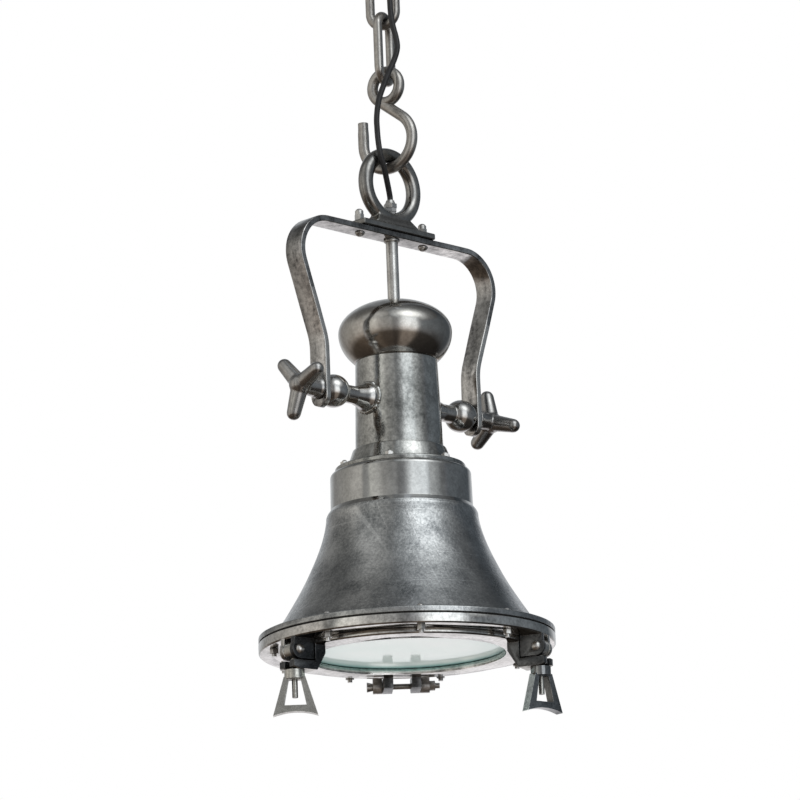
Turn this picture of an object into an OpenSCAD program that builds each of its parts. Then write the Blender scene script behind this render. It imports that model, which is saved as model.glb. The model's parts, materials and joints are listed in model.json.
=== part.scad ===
// Nautical pendant lamp: chain, open hook, ring, yoke, cap, neck and bell shade with a glazed door
// The ceiling face is at z = 0 and the lamp hangs below it, with the yoke along X

/* [Ceiling fitting] */
// Diameter of the ceiling plate
plate_d = 96; // [80:1:120]
// Thickness of the ceiling plate
plate_t = 8; // [6:0.5:12]
// Circle of the ceiling plate's screw holes
plate_pcd = 74; // [66:1:78]
// Diameter of the ceiling plate's screw holes
plate_hole_d = 5.5; // [4:0.5:6.5]
// Wire of the ceiling hook
ceiling_wire = 10; // [8:0.5:11]
// Ceiling face down to the middle of the ceiling hook's lowest wire
ceiling_drop = 76; // [70:1:100]
// Radius of the ceiling hook's bend, at the middle of the wire
ceiling_bend = 16; // [14:0.5:18]

/* [Chain and hook] */
// Wire of a chain link
link_wire = 10; // [8:0.5:11]
// Outer length of a chain link
link_len = 84; // [76:1:96]
// Outer width of a chain link
link_w = 40; // [38:1:46]
// Wire of the eye hook
hook_wire = 12; // [10:0.5:13]
// Outer diameter of the hook's closed eye
eye_d = 46; // [44:1:52]
// Outer diameter of the hook's bowl
bowl_d = 74; // [68:1:80]
// Eye centre down to bowl centre
hook_reach = 61; // [58:1:72]
// How far the hook's tip stands above the bowl's centre
hook_tip = 26; // [10:1:30]
// Wire of the suspension ring
ring_wire = 16; // [13:0.5:18]
// Outer diameter of the suspension ring
ring_d = 87; // [80:1:96]

/* [Yoke] */
// Ring centre down to the top of its base plate
ring_seat = 45; // [44:1:52]
// Length of the ring's base plate
base_len = 106; // [96:1:120]
// Width of the ring's base plate
base_w = 28; // [26:1:34]
// Thickness of the ring's base plate
base_t = 7; // [5:0.5:10]
// Distance of the base plate's bolts from its ends
base_bolt_edge = 6; // [5:0.5:8]
// Width of the yoke's flat bar
bar_w = 24; // [22:1:30]
// Thickness of the yoke's flat bar
bar_t = 6.5; // [5:0.5:9]
// Lamp axis to the middle of the bar at the shoulders
shoulder_x = 142; // [136:1:152]
// Lamp axis to the middle of the bar at the trunnions
leg_x = 112; // [108:1:116]
// Bend radius of the shoulders, at the middle of the bar
shoulder_bend = 38; // [28:1:42]
// Lean of the legs below the shoulders
leg_lean = 19; // [14:1:24]
// Bend radius where the legs turn upright again
leg_bend = 60; // [40:1:70]
// Underside of the yoke down to the trunnion axis
pivot_drop = 180; // [170:1:200]
// How far the legs reach below the trunnion axis
leg_tail = 20; // [18:1:28]

/* [Stem and cap] */
// Outer diameter of the stem tube
stem_d = 13; // [11:0.5:16]
// Bore of the stem tube
stem_bore = 9; // [7.5:0.5:10]
// Diameter of the cap
cap_d = 121; // [112:1:128]
// Trunnion axis up to the cap's widest level
cap_up = 77; // [72:1:84]
// Height of the cap above its widest level
cap_rise = 35; // [28:1:42]
// Depth that the cap's underside would have on the axis
cap_belly = 46; // [42:1:52]
// Wall of the cap
cap_wall = 3; // [2:0.5:5]

/* [Neck and trunnions] */
// Outer diameter of the neck where the cap sits
neck_top_d = 87; // [82:1:92]
// Outer diameter of the neck above its skirt
neck_foot_d = 93; // [88:1:98]
// Wall of the neck
neck_wall = 4; // [3:0.5:6]
// Trunnion axis down to the seat of the neck on the shade
neck_drop = 74.5; // [68:0.5:82]
// Diameter of the neck's foot flange
foot_d = 138; // [132:1:142]
// Thickness of the neck's foot flange
foot_t = 5; // [4:0.5:7]
// Circle of the screws in the neck's foot
foot_pcd = 124; // [116:1:126]
// Height of the skirt above the neck's foot flange
skirt_h = 19; // [14:1:26]
// Diameter of the trunnion balls
ball_d = 35; // [29:1:37]
// Diameter of the trunnion studs
stud_d = 12; // [10:0.5:14]
// Reach of a hand knob's fingers from its axis
knob_reach = 38; // [32:1:40]
// Thickness of a hand knob's fingers at the tip
finger_d = 15; // [11:0.5:15.5]

/* [Shade] */
// Diameter of the drum above the bell
drum_d = 150; // [146:1:156]
// Height of the drum
drum_h = 46; // [40:1:56]
// Step from the drum out to the bell
bell_step = 5; // [3:0.5:8]
// Width of the flange outside the bell
flange_reach = 16; // [14:0.5:20]
// Drum's lower edge to the top of the flange
bell_h = 127; // [115:1:140]
// How suddenly the bell flares
bell_flare = 1.5; // [1.3:0.1:1.9]
// Wall of drum and bell
shade_wall = 3; // [2:0.5:4]
// Outer diameter of flange and rim
rim_d = 310; // [306:1:330]
// Thickness of the shade's flange
flange_t = 6; // [4:0.5:9]
// Thickness of the gasket under the flange
gasket_t = 1; // [0.5:0.5:2]
// Thickness of the rim ring
rim_t = 11; // [9:0.5:14]
// Number of rim screws
rim_screws_n = 9; // [9:3:18]
// Edge of the rim in to the rim screws
screw_inset = 12; // [10:0.5:14]

/* [Door] */
// Direction of the door's hinge from the yoke
door_turn = 48; // [45:1:51]
// Edge of the rim in to the bezel
bezel_inset = 25; // [23:0.5:27]
// Width of the bezel's underside
bezel_w = 27; // [26:0.5:32]
// Thickness of the bezel's plate
bezel_t = 5.7; // [4:0.1:8]
// Overlap of the glass on the bezel
glass_lap = 8.5; // [6:0.5:9]
// Thickness of the glass
glass_t = 5; // [4:0.5:6]
// Edge of the rim out to the hinge pin
hinge_out = 2; // [1:0.5:5]
// Rim ring down to the hinge pin
hinge_drop = 9.5; // [9:0.5:12]
// Outer radius of a hinge knuckle
knuckle_r = 7.5; // [6.5:0.5:8]
// Diameter of the hinge pin
hinge_pin_d = 6; // [5:0.5:7]

/* [Dogs] */
// Edge of the rim in to the dog pins
dog_inset = 8; // [6:0.5:10]
// Rim ring down to the dog pins
dog_drop = 12; // [11:0.5:14]
// Diameter of a dog pin
dog_pin_d = 5.5; // [4.5:0.5:6]
// Diameter of a swing bolt's shank
bolt_d = 6; // [5:0.5:7]
// Dog pin down to the swing bolt's end
bolt_len = 49; // [46:1:60]
// Dog pin down to the seat of the wing nut
nut_seat = 20.5; // [20:0.5:24]
// Thickness of the forked tongue
tongue_t = 9; // [7:0.5:9]
// Width of the wing nut's frame at the foot
nut_foot_w = 46; // [38:1:48]
// Width of the wing nut's frame at the hub
nut_head_w = 22; // [20:1:26]
// Height of the wing nut
nut_h = 47; // [44:0.5:48]
// Thickness of the wing nut's frame
nut_t = 10; // [7:0.5:11]

/* [Light] */
// Diameter of the lampholder's shell
holder_d = 42; // [40:1:48]
// Height of the lampholder's shell
holder_h = 52; // [48:1:58]
// Trunnion axis down to the top of the lampholder
holder_drop = 46; // [36:1:50]
// Diameter of the bulb
bulb_d = 60; // [54:1:70]
// Length of the bulb below its cap
bulb_len = 84; // [78:1:90]
// Diameter of the cord
cord_d = 6.2; // [5:0.1:6.4]

/* [Hidden] */
$fn = 96;
// Gaps: between hanging pieces, in running fits and between fixed pieces
touch = 0.3;
running = 0.05;
seat = 0.05;
// A cut passes its surface by this much
over = 1;

// Directions of the hanging pieces about the vertical
ceiling_turn = 20;
link_upper_turn = 110;
link_lower_turn = 20;
hook_turn = -78;

// Middle radii of the bent wires
link_bow = (link_w - link_wire) / 2;
eye_bow = (eye_d - hook_wire) / 2;
bowl_bow = (bowl_d - hook_wire) / 2;
ring_bow = (ring_d - ring_wire) / 2;
link_pitch = link_len - link_wire;
strand_thin = 0.2;
strand_lap = 3;

// Levels of the chain, from the ceiling down
ceiling_z = -ceiling_drop;
upper_top_z = ceiling_z + (ceiling_wire + link_wire) / 2 + touch;
upper_low_z = upper_top_z - link_pitch;
lower_top_z = upper_low_z + link_wire + touch;
lower_low_z = lower_top_z - link_pitch;
eye_z = lower_low_z + (link_wire + hook_wire) / 2 + touch - eye_bow;
bowl_z = eye_z - hook_reach;
bowl_low_z = bowl_z - bowl_bow;
ring_z = bowl_low_z + (hook_wire + ring_wire) / 2 + touch - ring_bow;

// Levels of the yoke and the lamp body
base_top_z = ring_z - ring_seat;
yoke_top_z = base_top_z - base_t;
yoke_low_z = yoke_top_z - bar_t;
pivot_z = yoke_low_z - pivot_drop;
cap_z = pivot_z + cap_up;
cap_inner = [cap_d / 2 - cap_wall, cap_rise - cap_wall];
cap_share = sqrt(1 - pow(neck_top_d / cap_d, 2));
neck_top_z = cap_z - cap_belly * cap_share;
shade_top_z = pivot_z - neck_drop;
foot_top_z = shade_top_z + foot_t;
drum_low_z = shade_top_z - drum_h;
flange_top_z = drum_low_z - bell_h;
flange_low_z = flange_top_z - flange_t;
rim_top_z = flange_low_z - gasket_t;
rim_z = rim_top_z - rim_t;
bezel_top_z = rim_z - touch;
bezel_z = bezel_top_z - bezel_t;

// Rim and door, from the rim's edge inwards
bell_top_d = drum_d + 2 * bell_step;
bell_foot_d = rim_d - 2 * flange_reach;
rim_pcd = rim_d - 2 * screw_inset;
bezel_d = rim_d - 2 * bezel_inset;
bezel_open_d = bezel_d - 2 * bezel_w;
glass_d = bezel_open_d + 2 * glass_lap;
rim_bore = bezel_d / 2 - 10;
flange_bore = rim_bore + 2;
hinge_r = rim_d / 2 + hinge_out;
dog_r = rim_d / 2 - dog_inset;

// Neck: its outer radius falls evenly from the skirt to the cap
skirt_top_z = foot_top_z + skirt_h;
neck_slope = (neck_foot_d - neck_top_d) / 2 / (neck_top_z - skirt_top_z);
function neck_r(z) = neck_foot_d / 2 - neck_slope * (z - skirt_top_z);
neck_plug = 12;
skirt_step = 3;

// Foot that joins the suspension ring to its base plate
ring_foot = 58;
ring_foot_h = 15;
plinth_w = 22;
plinth_h = 3;

// Bolts through base plate and yoke
base_bolt_d = 6;
base_bolt_gap = base_len - 2 * base_bolt_edge;
base_head_d = 11;
base_nut_af = 9;
acorn_h = 13;

// Gland in the ring's foot, and the bore for the cord below it
gland_thread_d = 10;
gland_hex = 11.5;
gland_body_h = 4;
gland_nut_h = 9;
gland_z = ring_z - ring_bow + ring_wire / 2;
gland_top_z = gland_z + gland_body_h + gland_nut_h;
cord_fit = 0.2;
cord_entry = 8;

// Stem: it ends inside the base plate, and its collar is under the bar
stem_top_z = yoke_top_z + base_t / 2;
collar_d = stem_d + 4;
collar_h = 3;
holder_z = pivot_z - holder_drop;
holder_cap_h = 14;
stem_low_z = holder_z - holder_cap_h + 3;

// Trunnion stations along X
ball_seat = 14.5;
ball_x = leg_x - bar_t / 2 - ball_seat;
boss_x = neck_r(pivot_z) + 4;
boss_d = 31;
horn_d = 27;
waist_d = 19;
horn_len = 14;
knob_x = leg_x + bar_t / 2 + touch;
knob_hub_h = 35;
stud_end_x = knob_x + knob_hub_h - 6;

// Rim screws
rim_screw_d = 5;
rim_head_d = 7.5;
rim_nut_af = 8;
rim_nut_h = 5;
rim_tail = 3;

// Door
dog_turns = [173, 293];
dog_sides = [0, 1];
front_turn = 231;
spigot_in = glass_d / 2 + 1;
spigot_out = rim_bore - 1;
pad_t = 1;
glass_low_z = bezel_top_z + pad_t;
glass_top_z = glass_low_z + glass_t;
spigot_top_z = glass_top_z;
retainer_t = 2;
retainer_in = bezel_open_d / 2 + 2;
retainer_screws_n = 6;
retainer_screw_r = (spigot_in + spigot_out) / 2;
retainer_screw_d = 3;
retainer_screw_l = 5;

// Hinge along its pin
knuckle_w = 10;
knuckle_gap = 20;
knuckle_seat = 4.5;
knuckle_step = knuckle_w + 0.5;
hinge_half = knuckle_gap / 2 + knuckle_step + knuckle_w;
hinge_head_h = 6.5;
hinge_nut_h = 6;
hinge_tail = 5;

// Dog details
eye_w = 11;
eye_r = 9;
cheek_gap = eye_w + 2 * touch;
cheek_w = 6;
cheek_r = 9.5;
cheek_back = 17;
dog_half = cheek_gap / 2 + cheek_w;
pin_head_d = 10;
pin_head_h = 3;
pin_nut_h = 4;
tongue_z = -dog_drop - nut_seat + touch;
tongue_half = dog_half + 1;
slot_w = bolt_d + 2.5;
tongue_out = dog_r + 9;
tongue_in = bezel_d / 2 - 14;
tongue_web = dog_r - cheek_back - 1 - tongue_in;
tongue_slant = [11, 18];
hub_h = 9;
hub_d = 21;
nut_turns = [225, 264];
nut_bar = 6.5;
nut_arch = 4;
window_top_w = 12.5;
window_foot_w = 23;

// Hand knobs: the directions of the three fingers about the trunnion axis
fingers_right = [75, 197, 325];
fingers_left = [50, 160, 285];
finger_rise = 29;
knob_ball_x = 26.5;
knob_ball_d = 23;
finger_root = [knob_ball_x, 6, 0];

// Bulb
thread_d = 26.5;
thread_h = 24;
bulb_neck_d = 30;

// Cord from the ceiling grip to the gland, one run for each joint that it passes
grip_xy = [-6, -34];
grip_h = 26;
grip_d = 16;
function from_level(z, list) = [for (p = list) p + [0, 0, z]];
cord_route = concat(
    [[grip_xy.x, grip_xy.y, 2 - grip_h]],
    from_level(ceiling_z, [[-6, -34, 32], [-6.5, -33, 14], [-8, -30, -4], [-9.5, -26, -20], [-11, -22.5, -34]]),
    from_level(upper_low_z, [[-11, -22.3, 18], [-11, -23, 4], [-9.9, -24.7, -10], [-8.8, -27.2, -22],
        [-8.5, -28.3, -34]]),
    from_level(lower_low_z, [[-11, -25.8, 17], [-15.6, -21.2, 3], [-20.2, -16.6, -13], [-24, -12.5, -29],
        [-25.8, -10.5, -47]]),
    from_level(ring_z, [[-26.2, -10.8, 58], [-26, -11.6, 44], [-24.5, -12.5, 30], [-18, -10.5, 18],
        [-10.5, -6.2, 7], [-4, -2.4, -3]]),
    from_level(gland_top_z, [[0, 0, 4], [0, 0, -2], [0, 0, -cord_entry]]));
cord_cuts = [0, 5, 10, 15, len(cord_route) - 1];

// Shared shapes

// A bent wire in the XZ plane about the origin, from angle a0 to a1
module wire_bend(bow, wire, a0, a1)
    rotate([90, 0, 0]) rotate([0, 0, a0]) rotate_extrude(angle = a1 - a0)
        translate([bow, 0]) circle(d = wire);

// A straight rod from point a to point b
module rod(a, b, d0, d1) {
    v = b - a;
    translate(a) rotate([0, acos(v.z / norm(v)), atan2(v.y, v.x)])
        cylinder(h = norm(v), d1 = d0, d2 = d1);
}

// A finger that tapers from a flat root of radius r0 at a to a round tip of radius r1 at b
module finger(a, b, r0, r1) {
    v = b - a;
    lean = asin((r0 - r1) / norm(v));
    translate(a) rotate([0, acos(v.z / norm(v)), atan2(v.y, v.x)])
        rotate_extrude() polygon(concat([[0, 0], [r0, 0]], cap_points(norm(v), r1, lean, 90)));
}

function cap_points(z, r, a0, a1) = [for (i = [0 : 8]) let (a = a0 + (a1 - a0) * i / 8)
    [r * cos(a), z + r * sin(a)]];

module along_x() rotate([0, 90, 0]) children();
module along_y() rotate([-90, 0, 0]) children();

module hex(af, h) cylinder(h = h, d = af / cos(30), $fn = 6);

module ring(r_in, r_out, h) difference() {
    cylinder(h = h, r = r_out);
    translate([0, 0, -over]) cylinder(h = h + 2 * over, r = r_in);
}

module around(n, r, first = 0)
    for (i = [0 : n - 1]) rotate([0, 0, first + i * 360 / n]) translate([r, 0, 0]) children();

// A domed screw head that stands on z = 0
module dome_head(d, h) intersection() {
    translate([0, 0, h - (d * d / 4 + h * h) / (2 * h)]) sphere(r = (d * d / 4 + h * h) / (2 * h));
    cylinder(h = h + over, d = d);
}

// Frames of the dogs and the hinge: X points outwards, Y along the rim, z = 0 under the rim ring
module at_rim(turn) translate([0, 0, rim_z]) rotate([0, 0, turn]) children();
module at_dog_pin(turn) at_rim(turn) translate([dog_r, 0, -dog_drop]) children();
module at_hinge_pin() at_rim(door_turn) translate([hinge_r, 0, -hinge_drop]) children();

// Ceiling fitting

module ceiling_plate() color("dimgray") difference() {
    union() {
        translate([0, 0, -plate_t]) rotate_extrude() polygon([
            [0, 0], [plate_d / 2 - 5, 0], [plate_d / 2, 4], [plate_d / 2, plate_t], [0, plate_t]]);
        translate([0, 0, -plate_t - 8]) cylinder(h = 8 + over, d = ceiling_wire + 14);
    }
    around(3, plate_pcd / 2, 90) translate([0, 0, -plate_t - over])
        cylinder(h = plate_t + 2 * over, d = plate_hole_d);
    translate([0, 0, -plate_t - 8 - over]) cylinder(h = 8 + over + plate_t / 2, r = ceiling_wire / 2 + seat);
    translate([grip_xy.x, grip_xy.y, -plate_t - over])
        cylinder(h = over + plate_t / 2, r = grip_d / 2 + seat);
}

module ceiling_hook() color("gray") rotate([0, 0, ceiling_turn]) {
    bend_z = ceiling_z + ceiling_bend;
    neck_z = bend_z + ceiling_bend;
    translate([0, 0, bend_z]) wire_bend(ceiling_bend, ceiling_wire, -180, 90);
    rod([0, 0, neck_z], [0, 0, -plate_t / 2], ceiling_wire, ceiling_wire);
    translate([-ceiling_bend, 0, bend_z]) sphere(d = ceiling_wire);
}

module ceiling_cord_grip() color("darkslategray") translate([grip_xy.x, grip_xy.y, -grip_h]) difference() {
    union() {
        cylinder(h = grip_h - plate_t / 2, d = grip_d);
        translate([0, 0, -4]) cylinder(h = 4, d1 = grip_d - 5, d2 = grip_d);
        translate([0, 0, 6]) hex(grip_d + 3, 7);
    }
    translate([0, 0, -4 - over]) cylinder(h = 12, d = cord_d + 2 * cord_fit);
}

// Chain, hook and ring

module chain_link() {
    wire_r = [link_bow, 0, 0];
    drop = [0, 0, 2 * link_bow - link_pitch];
    translate([0, 0, -link_bow]) {
        wire_bend(link_bow, link_wire, 0, 180);
        rod(wire_r, wire_r + drop, link_wire, link_wire);
        rod(-wire_r, drop - wire_r, link_wire, link_wire);
        translate(drop) wire_bend(link_bow, link_wire, 180, 360);
    }
}

module chain_link_upper() color("gray") translate([0, 0, upper_top_z])
    rotate([0, 0, link_upper_turn]) chain_link();

module chain_link_lower() color("gray") translate([0, 0, lower_top_z])
    rotate([0, 0, link_lower_turn]) chain_link();

// The eye runs by a straight cross strand, a little thinner than its ends, into the bowl, like an open S
module eye_hook() color("gray") translate([0, 0, eye_z]) rotate([0, 0, hook_turn]) {
    lean = asin((eye_bow + bowl_bow) / hook_reach);
    way = [sin(lean), 0, -cos(lean)];
    from = eye_bow * [-cos(lean), 0, -sin(lean)];
    to = [0, 0, -hook_reach] + bowl_bow * [cos(lean), 0, sin(lean)];
    strand = hook_wire - 2 * strand_thin;
    wire_bend(eye_bow, hook_wire, 0, 360);
    rod(from - way * strand_lap, to + way * strand_lap, strand, strand);
    translate([0, 0, -hook_reach]) {
        wire_bend(bowl_bow, hook_wire, -180, lean);
        rod([-bowl_bow, 0, 0], [-bowl_bow, 0, hook_tip], hook_wire, hook_wire - 1);
    }
}

// A side of the ring's foot, from half its width at the plate to half its width at the top
module foot_side(low, high) polygon([[-low, -over], [low, -over], [low, plinth_h], [high, ring_foot_h],
    [-high, ring_foot_h], [-low, plinth_h]]);

// Ring, foot and base plate are one casting, drilled for the gland and for the stem's end
module suspension_ring() color("dimgray") difference() {
    union() {
        translate([0, 0, ring_z]) wire_bend(ring_bow, ring_wire, 0, 360);
        translate([0, 0, base_top_z]) intersection() {
            translate([0, plinth_w / 2, 0]) rotate([90, 0, 0]) linear_extrude(plinth_w) difference() {
                foot_side(ring_foot / 2, ring_foot / 2 - 9);
                translate([0, ring_seat]) circle(r = ring_bow - ring_wire / 4);
            }
            translate([-ring_foot / 2, 0, 0]) rotate([90, 0, 90]) linear_extrude(ring_foot)
                foot_side(plinth_w / 2, ring_wire / 2 - 3);
        }
        translate([-ring_foot / 2 - 2, -plinth_w / 2, base_top_z - over])
            cube([ring_foot + 4, plinth_w, plinth_h + over]);
        translate([-base_len / 2, -base_w / 2, yoke_top_z + seat]) cube([base_len, base_w, base_t - seat]);
    }
    translate([0, 0, gland_z - ring_wire / 2]) cylinder(h = ring_wire, d = gland_thread_d + 2 * seat);
    translate([0, 0, gland_z - seat]) cylinder(h = ring_wire, d = gland_hex / cos(30) + 1);
    translate([0, 0, yoke_top_z]) cylinder(h = 2 * ring_wire, d = cord_d + 1);
    translate([0, 0, yoke_top_z - over])
        cylinder(h = stem_top_z - yoke_top_z + over + seat, r = stem_d / 2 + seat);
    for (x = [-1, 1]) translate([x * base_bolt_gap / 2, 0, yoke_top_z - over])
        cylinder(h = base_t + 2 * over, r = base_bolt_d / 2 + seat);
}

module base_bolts() color("silver") for (x = [-1, 1]) translate([x * base_bolt_gap / 2, 0, 0]) {
    translate([0, 0, yoke_low_z]) cylinder(h = bar_t + base_t + acorn_h / 2, d = base_bolt_d);
    translate([0, 0, yoke_low_z - seat]) mirror([0, 0, 1]) dome_head(base_head_d, 4.5);
    translate([0, 0, yoke_low_z - seat]) cylinder(h = 2 * seat, d = base_bolt_d);
}

module base_nuts() color("silver") for (x = [-1, 1]) translate([x * base_bolt_gap / 2, 0, base_top_z + seat])
    difference() {
        union() {
            hex(base_nut_af, acorn_h / 2);
            translate([0, 0, acorn_h / 2]) dome_head(base_nut_af, acorn_h / 2);
        }
        translate([0, 0, -over]) cylinder(h = over + acorn_h / 2 + seat, r = base_bolt_d / 2 + seat);
    }

module cord_gland() color("gray") difference() {
    union() {
        translate([0, 0, gland_z - ring_wire / 2 + seat]) cylinder(h = ring_wire / 2, d = gland_thread_d);
        translate([0, 0, gland_z]) hex(gland_hex, gland_body_h);
    }
    translate([0, 0, gland_z - ring_wire]) cylinder(h = 2 * ring_wire, d = cord_d + 2 * cord_fit);
}

module gland_nut() color("silver") translate([0, 0, gland_z + gland_body_h + seat]) difference() {
    union() {
        hex(gland_hex + 1, gland_nut_h * 0.55);
        translate([0, 0, gland_nut_h * 0.55])
            cylinder(h = gland_nut_h * 0.45 - seat, d1 = gland_hex, d2 = gland_hex - 3);
    }
    translate([0, 0, -over]) cylinder(h = gland_nut_h + 2 * over, d = cord_d + 2 * cord_fit);
}

arc_steps = 16;

// Points of an arc about c
function arc(c, r, a0, a1) = [for (i = [0 : arc_steps]) let (a = a0 + (a1 - a0) * i / arc_steps)
    c + r * [cos(a), sin(a)]];

// Half of the bent bar, from the middle of its top to the end of its leg; the end is round
module half_yoke() {
    turn = [shoulder_x - shoulder_bend, yoke_low_z + bar_t / 2 - shoulder_bend];
    start_z = turn.y - shoulder_bend * sin(leg_lean);
    run_x = turn.x + shoulder_bend * cos(leg_lean) - leg_x - leg_bend * (1 - cos(leg_lean));
    low = [leg_x + leg_bend, start_z - run_x / tan(leg_lean) - leg_bend * sin(leg_lean)];
    tail_z = pivot_z - leg_tail;
    difference() {
        translate([0, bar_w / 2, 0]) rotate([90, 0, 0]) linear_extrude(bar_w) polygon(concat(
            [[0, yoke_top_z]], arc(turn, shoulder_bend + bar_t / 2, 90, -leg_lean),
            arc(low, leg_bend - bar_t / 2, 180 - leg_lean, 180),
            [[leg_x + bar_t / 2, tail_z], [leg_x - bar_t / 2, tail_z]],
            arc(low, leg_bend + bar_t / 2, 180, 180 - leg_lean),
            arc(turn, shoulder_bend - bar_t / 2, -leg_lean, 90), [[0, yoke_low_z]]));
        translate([leg_x - bar_t, 0, tail_z + bar_w / 2]) difference() {
            translate([0, -bar_w, -bar_w]) cube([2 * bar_t, 2 * bar_w, bar_w]);
            translate([-over, 0, 0]) along_x() cylinder(h = 2 * bar_t + 2 * over, d = bar_w);
        }
    }
}

module yoke() color("silver") difference() {
    union() {
        half_yoke();
        mirror([1, 0, 0]) half_yoke();
    }
    translate([0, 0, yoke_low_z - over]) cylinder(h = bar_t + 2 * over, r = stem_d / 2 + seat);
    for (x = [-1, 1]) translate([x * base_bolt_gap / 2, 0, yoke_low_z - over])
        cylinder(h = bar_t + 2 * over, r = base_bolt_d / 2 + seat);
    translate([-shoulder_x, 0, pivot_z]) along_x() cylinder(h = 2 * shoulder_x, r = stud_d / 2 + seat);
}

// Stem and cap

module stem_tube() color("silver") translate([0, 0, stem_low_z]) difference() {
    cylinder(h = stem_top_z - stem_low_z, d = stem_d);
    translate([0, 0, -over]) cylinder(h = stem_top_z - stem_low_z + 2 * over, d = stem_bore);
}

module stem_collar() color("silver") translate([0, 0, yoke_low_z - collar_h - seat]) difference() {
    rotate_extrude() polygon([[0, 0], [collar_d / 2 - 1, 0], [collar_d / 2, 1], [collar_d / 2, collar_h],
        [0, collar_h]]);
    translate([0, 0, -over]) cylinder(h = collar_h + 2 * over, r = stem_d / 2 + seat);
}

module inner_cord() color("black") {
    top_z = gland_top_z - cord_entry - seat;
    translate([0, 0, holder_z]) cylinder(h = top_z - holder_z, d = cord_d);
}

// Half an outline of the cap, between two angles of its upper and its lower ellipse
function cap_arc(r, rise, belly, a0, a1, steps) = [
    for (i = [0 : steps]) let (a = a0 + (a1 - a0) * i / steps) [r * cos(a), (a > 0 ? rise : belly) * sin(a)]
];
cap_low_a = -acos(neck_top_d / cap_d);

module dome_cap() color("gray") translate([0, 0, cap_z]) difference() {
    rotate_extrude() polygon(concat(
        [[0, cap_belly * sin(cap_low_a)]], cap_arc(cap_d / 2, cap_rise, cap_belly, cap_low_a, 90, 30)));
    rotate_extrude() polygon(concat(
        [[0, cap_belly * sin(cap_low_a) - over]],
        [[neck_top_d / 2 - neck_wall, cap_belly * sin(cap_low_a) - over]],
        [[neck_top_d / 2 - neck_wall, cap_belly * sin(cap_low_a) + neck_plug]],
        cap_arc(cap_inner.x, cap_inner.y, cap_inner.y, -20, 90, 20)));
    cylinder(h = 2 * cap_rise, r = stem_d / 2 + seat);
}

// Neck and trunnions

module neck_form(grow = 0) rotate_extrude() polygon(concat(
    [[0, shade_top_z], [foot_d / 2, shade_top_z], [foot_d / 2, foot_top_z]],
    [[foot_pcd / 2 - 5.5, foot_top_z], [neck_foot_d / 2 + skirt_step + 1, skirt_top_z - 3],
        [neck_foot_d / 2 + skirt_step, skirt_top_z - 1], [neck_foot_d / 2 + grow, skirt_top_z]],
    [[neck_top_d / 2 + grow, neck_top_z - seat], [0, neck_top_z - seat]]));

module neck() color("dimgray") difference() {
    union() {
        neck_form();
        translate([0, 0, neck_top_z - over])
            ring(neck_top_d / 2 - 2 * neck_wall, neck_top_d / 2 - neck_wall - seat, neck_plug - over);
    }
    translate([0, 0, shade_top_z - over]) cylinder(
        h = neck_top_z - shade_top_z + neck_plug + 2 * over,
        r1 = neck_foot_d / 2 - 2 * neck_wall, r2 = neck_top_d / 2 - 2 * neck_wall);
    translate([-shoulder_x, 0, pivot_z]) along_x() cylinder(h = 2 * shoulder_x, r = stud_d / 2 + seat);
    around(6, foot_pcd / 2, 35) translate([0, 0, shade_top_z - over])
        cylinder(h = foot_t + 2 * over, r = rim_screw_d / 2 + seat);
}

module neck_screws() color("silver") around(6, foot_pcd / 2, 35) translate([0, 0, foot_top_z + seat]) {
    hex(rim_nut_af, 3.5);
    translate([0, 0, 3.5]) dome_head(rim_screw_d + 1, 2.5);
    translate([0, 0, -foot_t - shade_wall - 4]) cylinder(h = foot_t + shade_wall + 4, d = rim_screw_d);
}

// Turned spindle on the +X side: weld ring, horn, ball and stud
module trunnion() translate([0, 0, pivot_z]) difference() {
    union() {
        along_x() rotate_extrude() polygon([
            [0, neck_foot_d / 4], [boss_d / 2, neck_foot_d / 4], [boss_d / 2, boss_x - 1],
            [horn_d / 2, boss_x + 2],
            [horn_d / 2 - 1, boss_x + horn_len / 3], [waist_d / 2 + 1, boss_x + horn_len - 2],
            [waist_d / 2, boss_x + horn_len + 2], [waist_d / 2, ball_x], [0, ball_x]]);
        intersection() {
            translate([ball_x, 0, 0]) sphere(d = ball_d);
            translate([0, -ball_d, -ball_d]) cube([leg_x - bar_t / 2 - seat, 2 * ball_d, 2 * ball_d]);
        }
        translate([ball_x, 0, 0]) along_x() cylinder(h = stud_end_x - ball_x, d = stud_d);
    }
    translate([0, 0, -pivot_z]) neck_form(seat);
}

module trunnion_right() color("silver") trunnion();
module trunnion_left() color("silver") mirror([1, 0, 0]) trunnion();

// Hand knob on the +X side: a hub on a round foot, and a ball with three fingers
module knob(turns) translate([knob_x, 0, pivot_z]) difference() {
    union() {
        along_x() rotate_extrude() polygon([[0, 0], [12, 0], [12, 2], [10.5, 5], [9.5, 18],
            [9.5, knob_ball_x], [0, knob_ball_x]]);
        translate([knob_ball_x, 0, 0]) sphere(d = knob_ball_d);
        for (a = turns) rotate([a, 0, 0]) finger(
            finger_root, [finger_rise, knob_reach - finger_d / 2, 0], finger_d / 2 + 1.5, finger_d / 2);
    }
    translate([-over, 0, 0]) along_x() cylinder(h = knob_hub_h - 5 + over, r = stud_d / 2 + running);
}

module knob_right() color("dimgray") knob(fingers_right);
module knob_left() color("dimgray") mirror([1, 0, 0]) knob(fingers_left);

// Shade and rim

bell_steps = 16;
function bell_r(s) = bell_top_d / 2 + (bell_foot_d - bell_top_d) / 2 * pow(s, bell_flare);
function bell_line(inset) = [for (i = [0 : bell_steps]) let (s = i / bell_steps)
    [bell_r(s) - inset, drum_low_z - 2 - (bell_h - 2) * s]];

function edge_arc(r, z, size) = [for (i = [0 : 6]) let (a = 90 - 15 * i)
    [r - size + size * cos(a), z - size + size * sin(a)]];

function reversed(list) = [for (i = [len(list) - 1 : -1 : 0]) list[i]];

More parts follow.
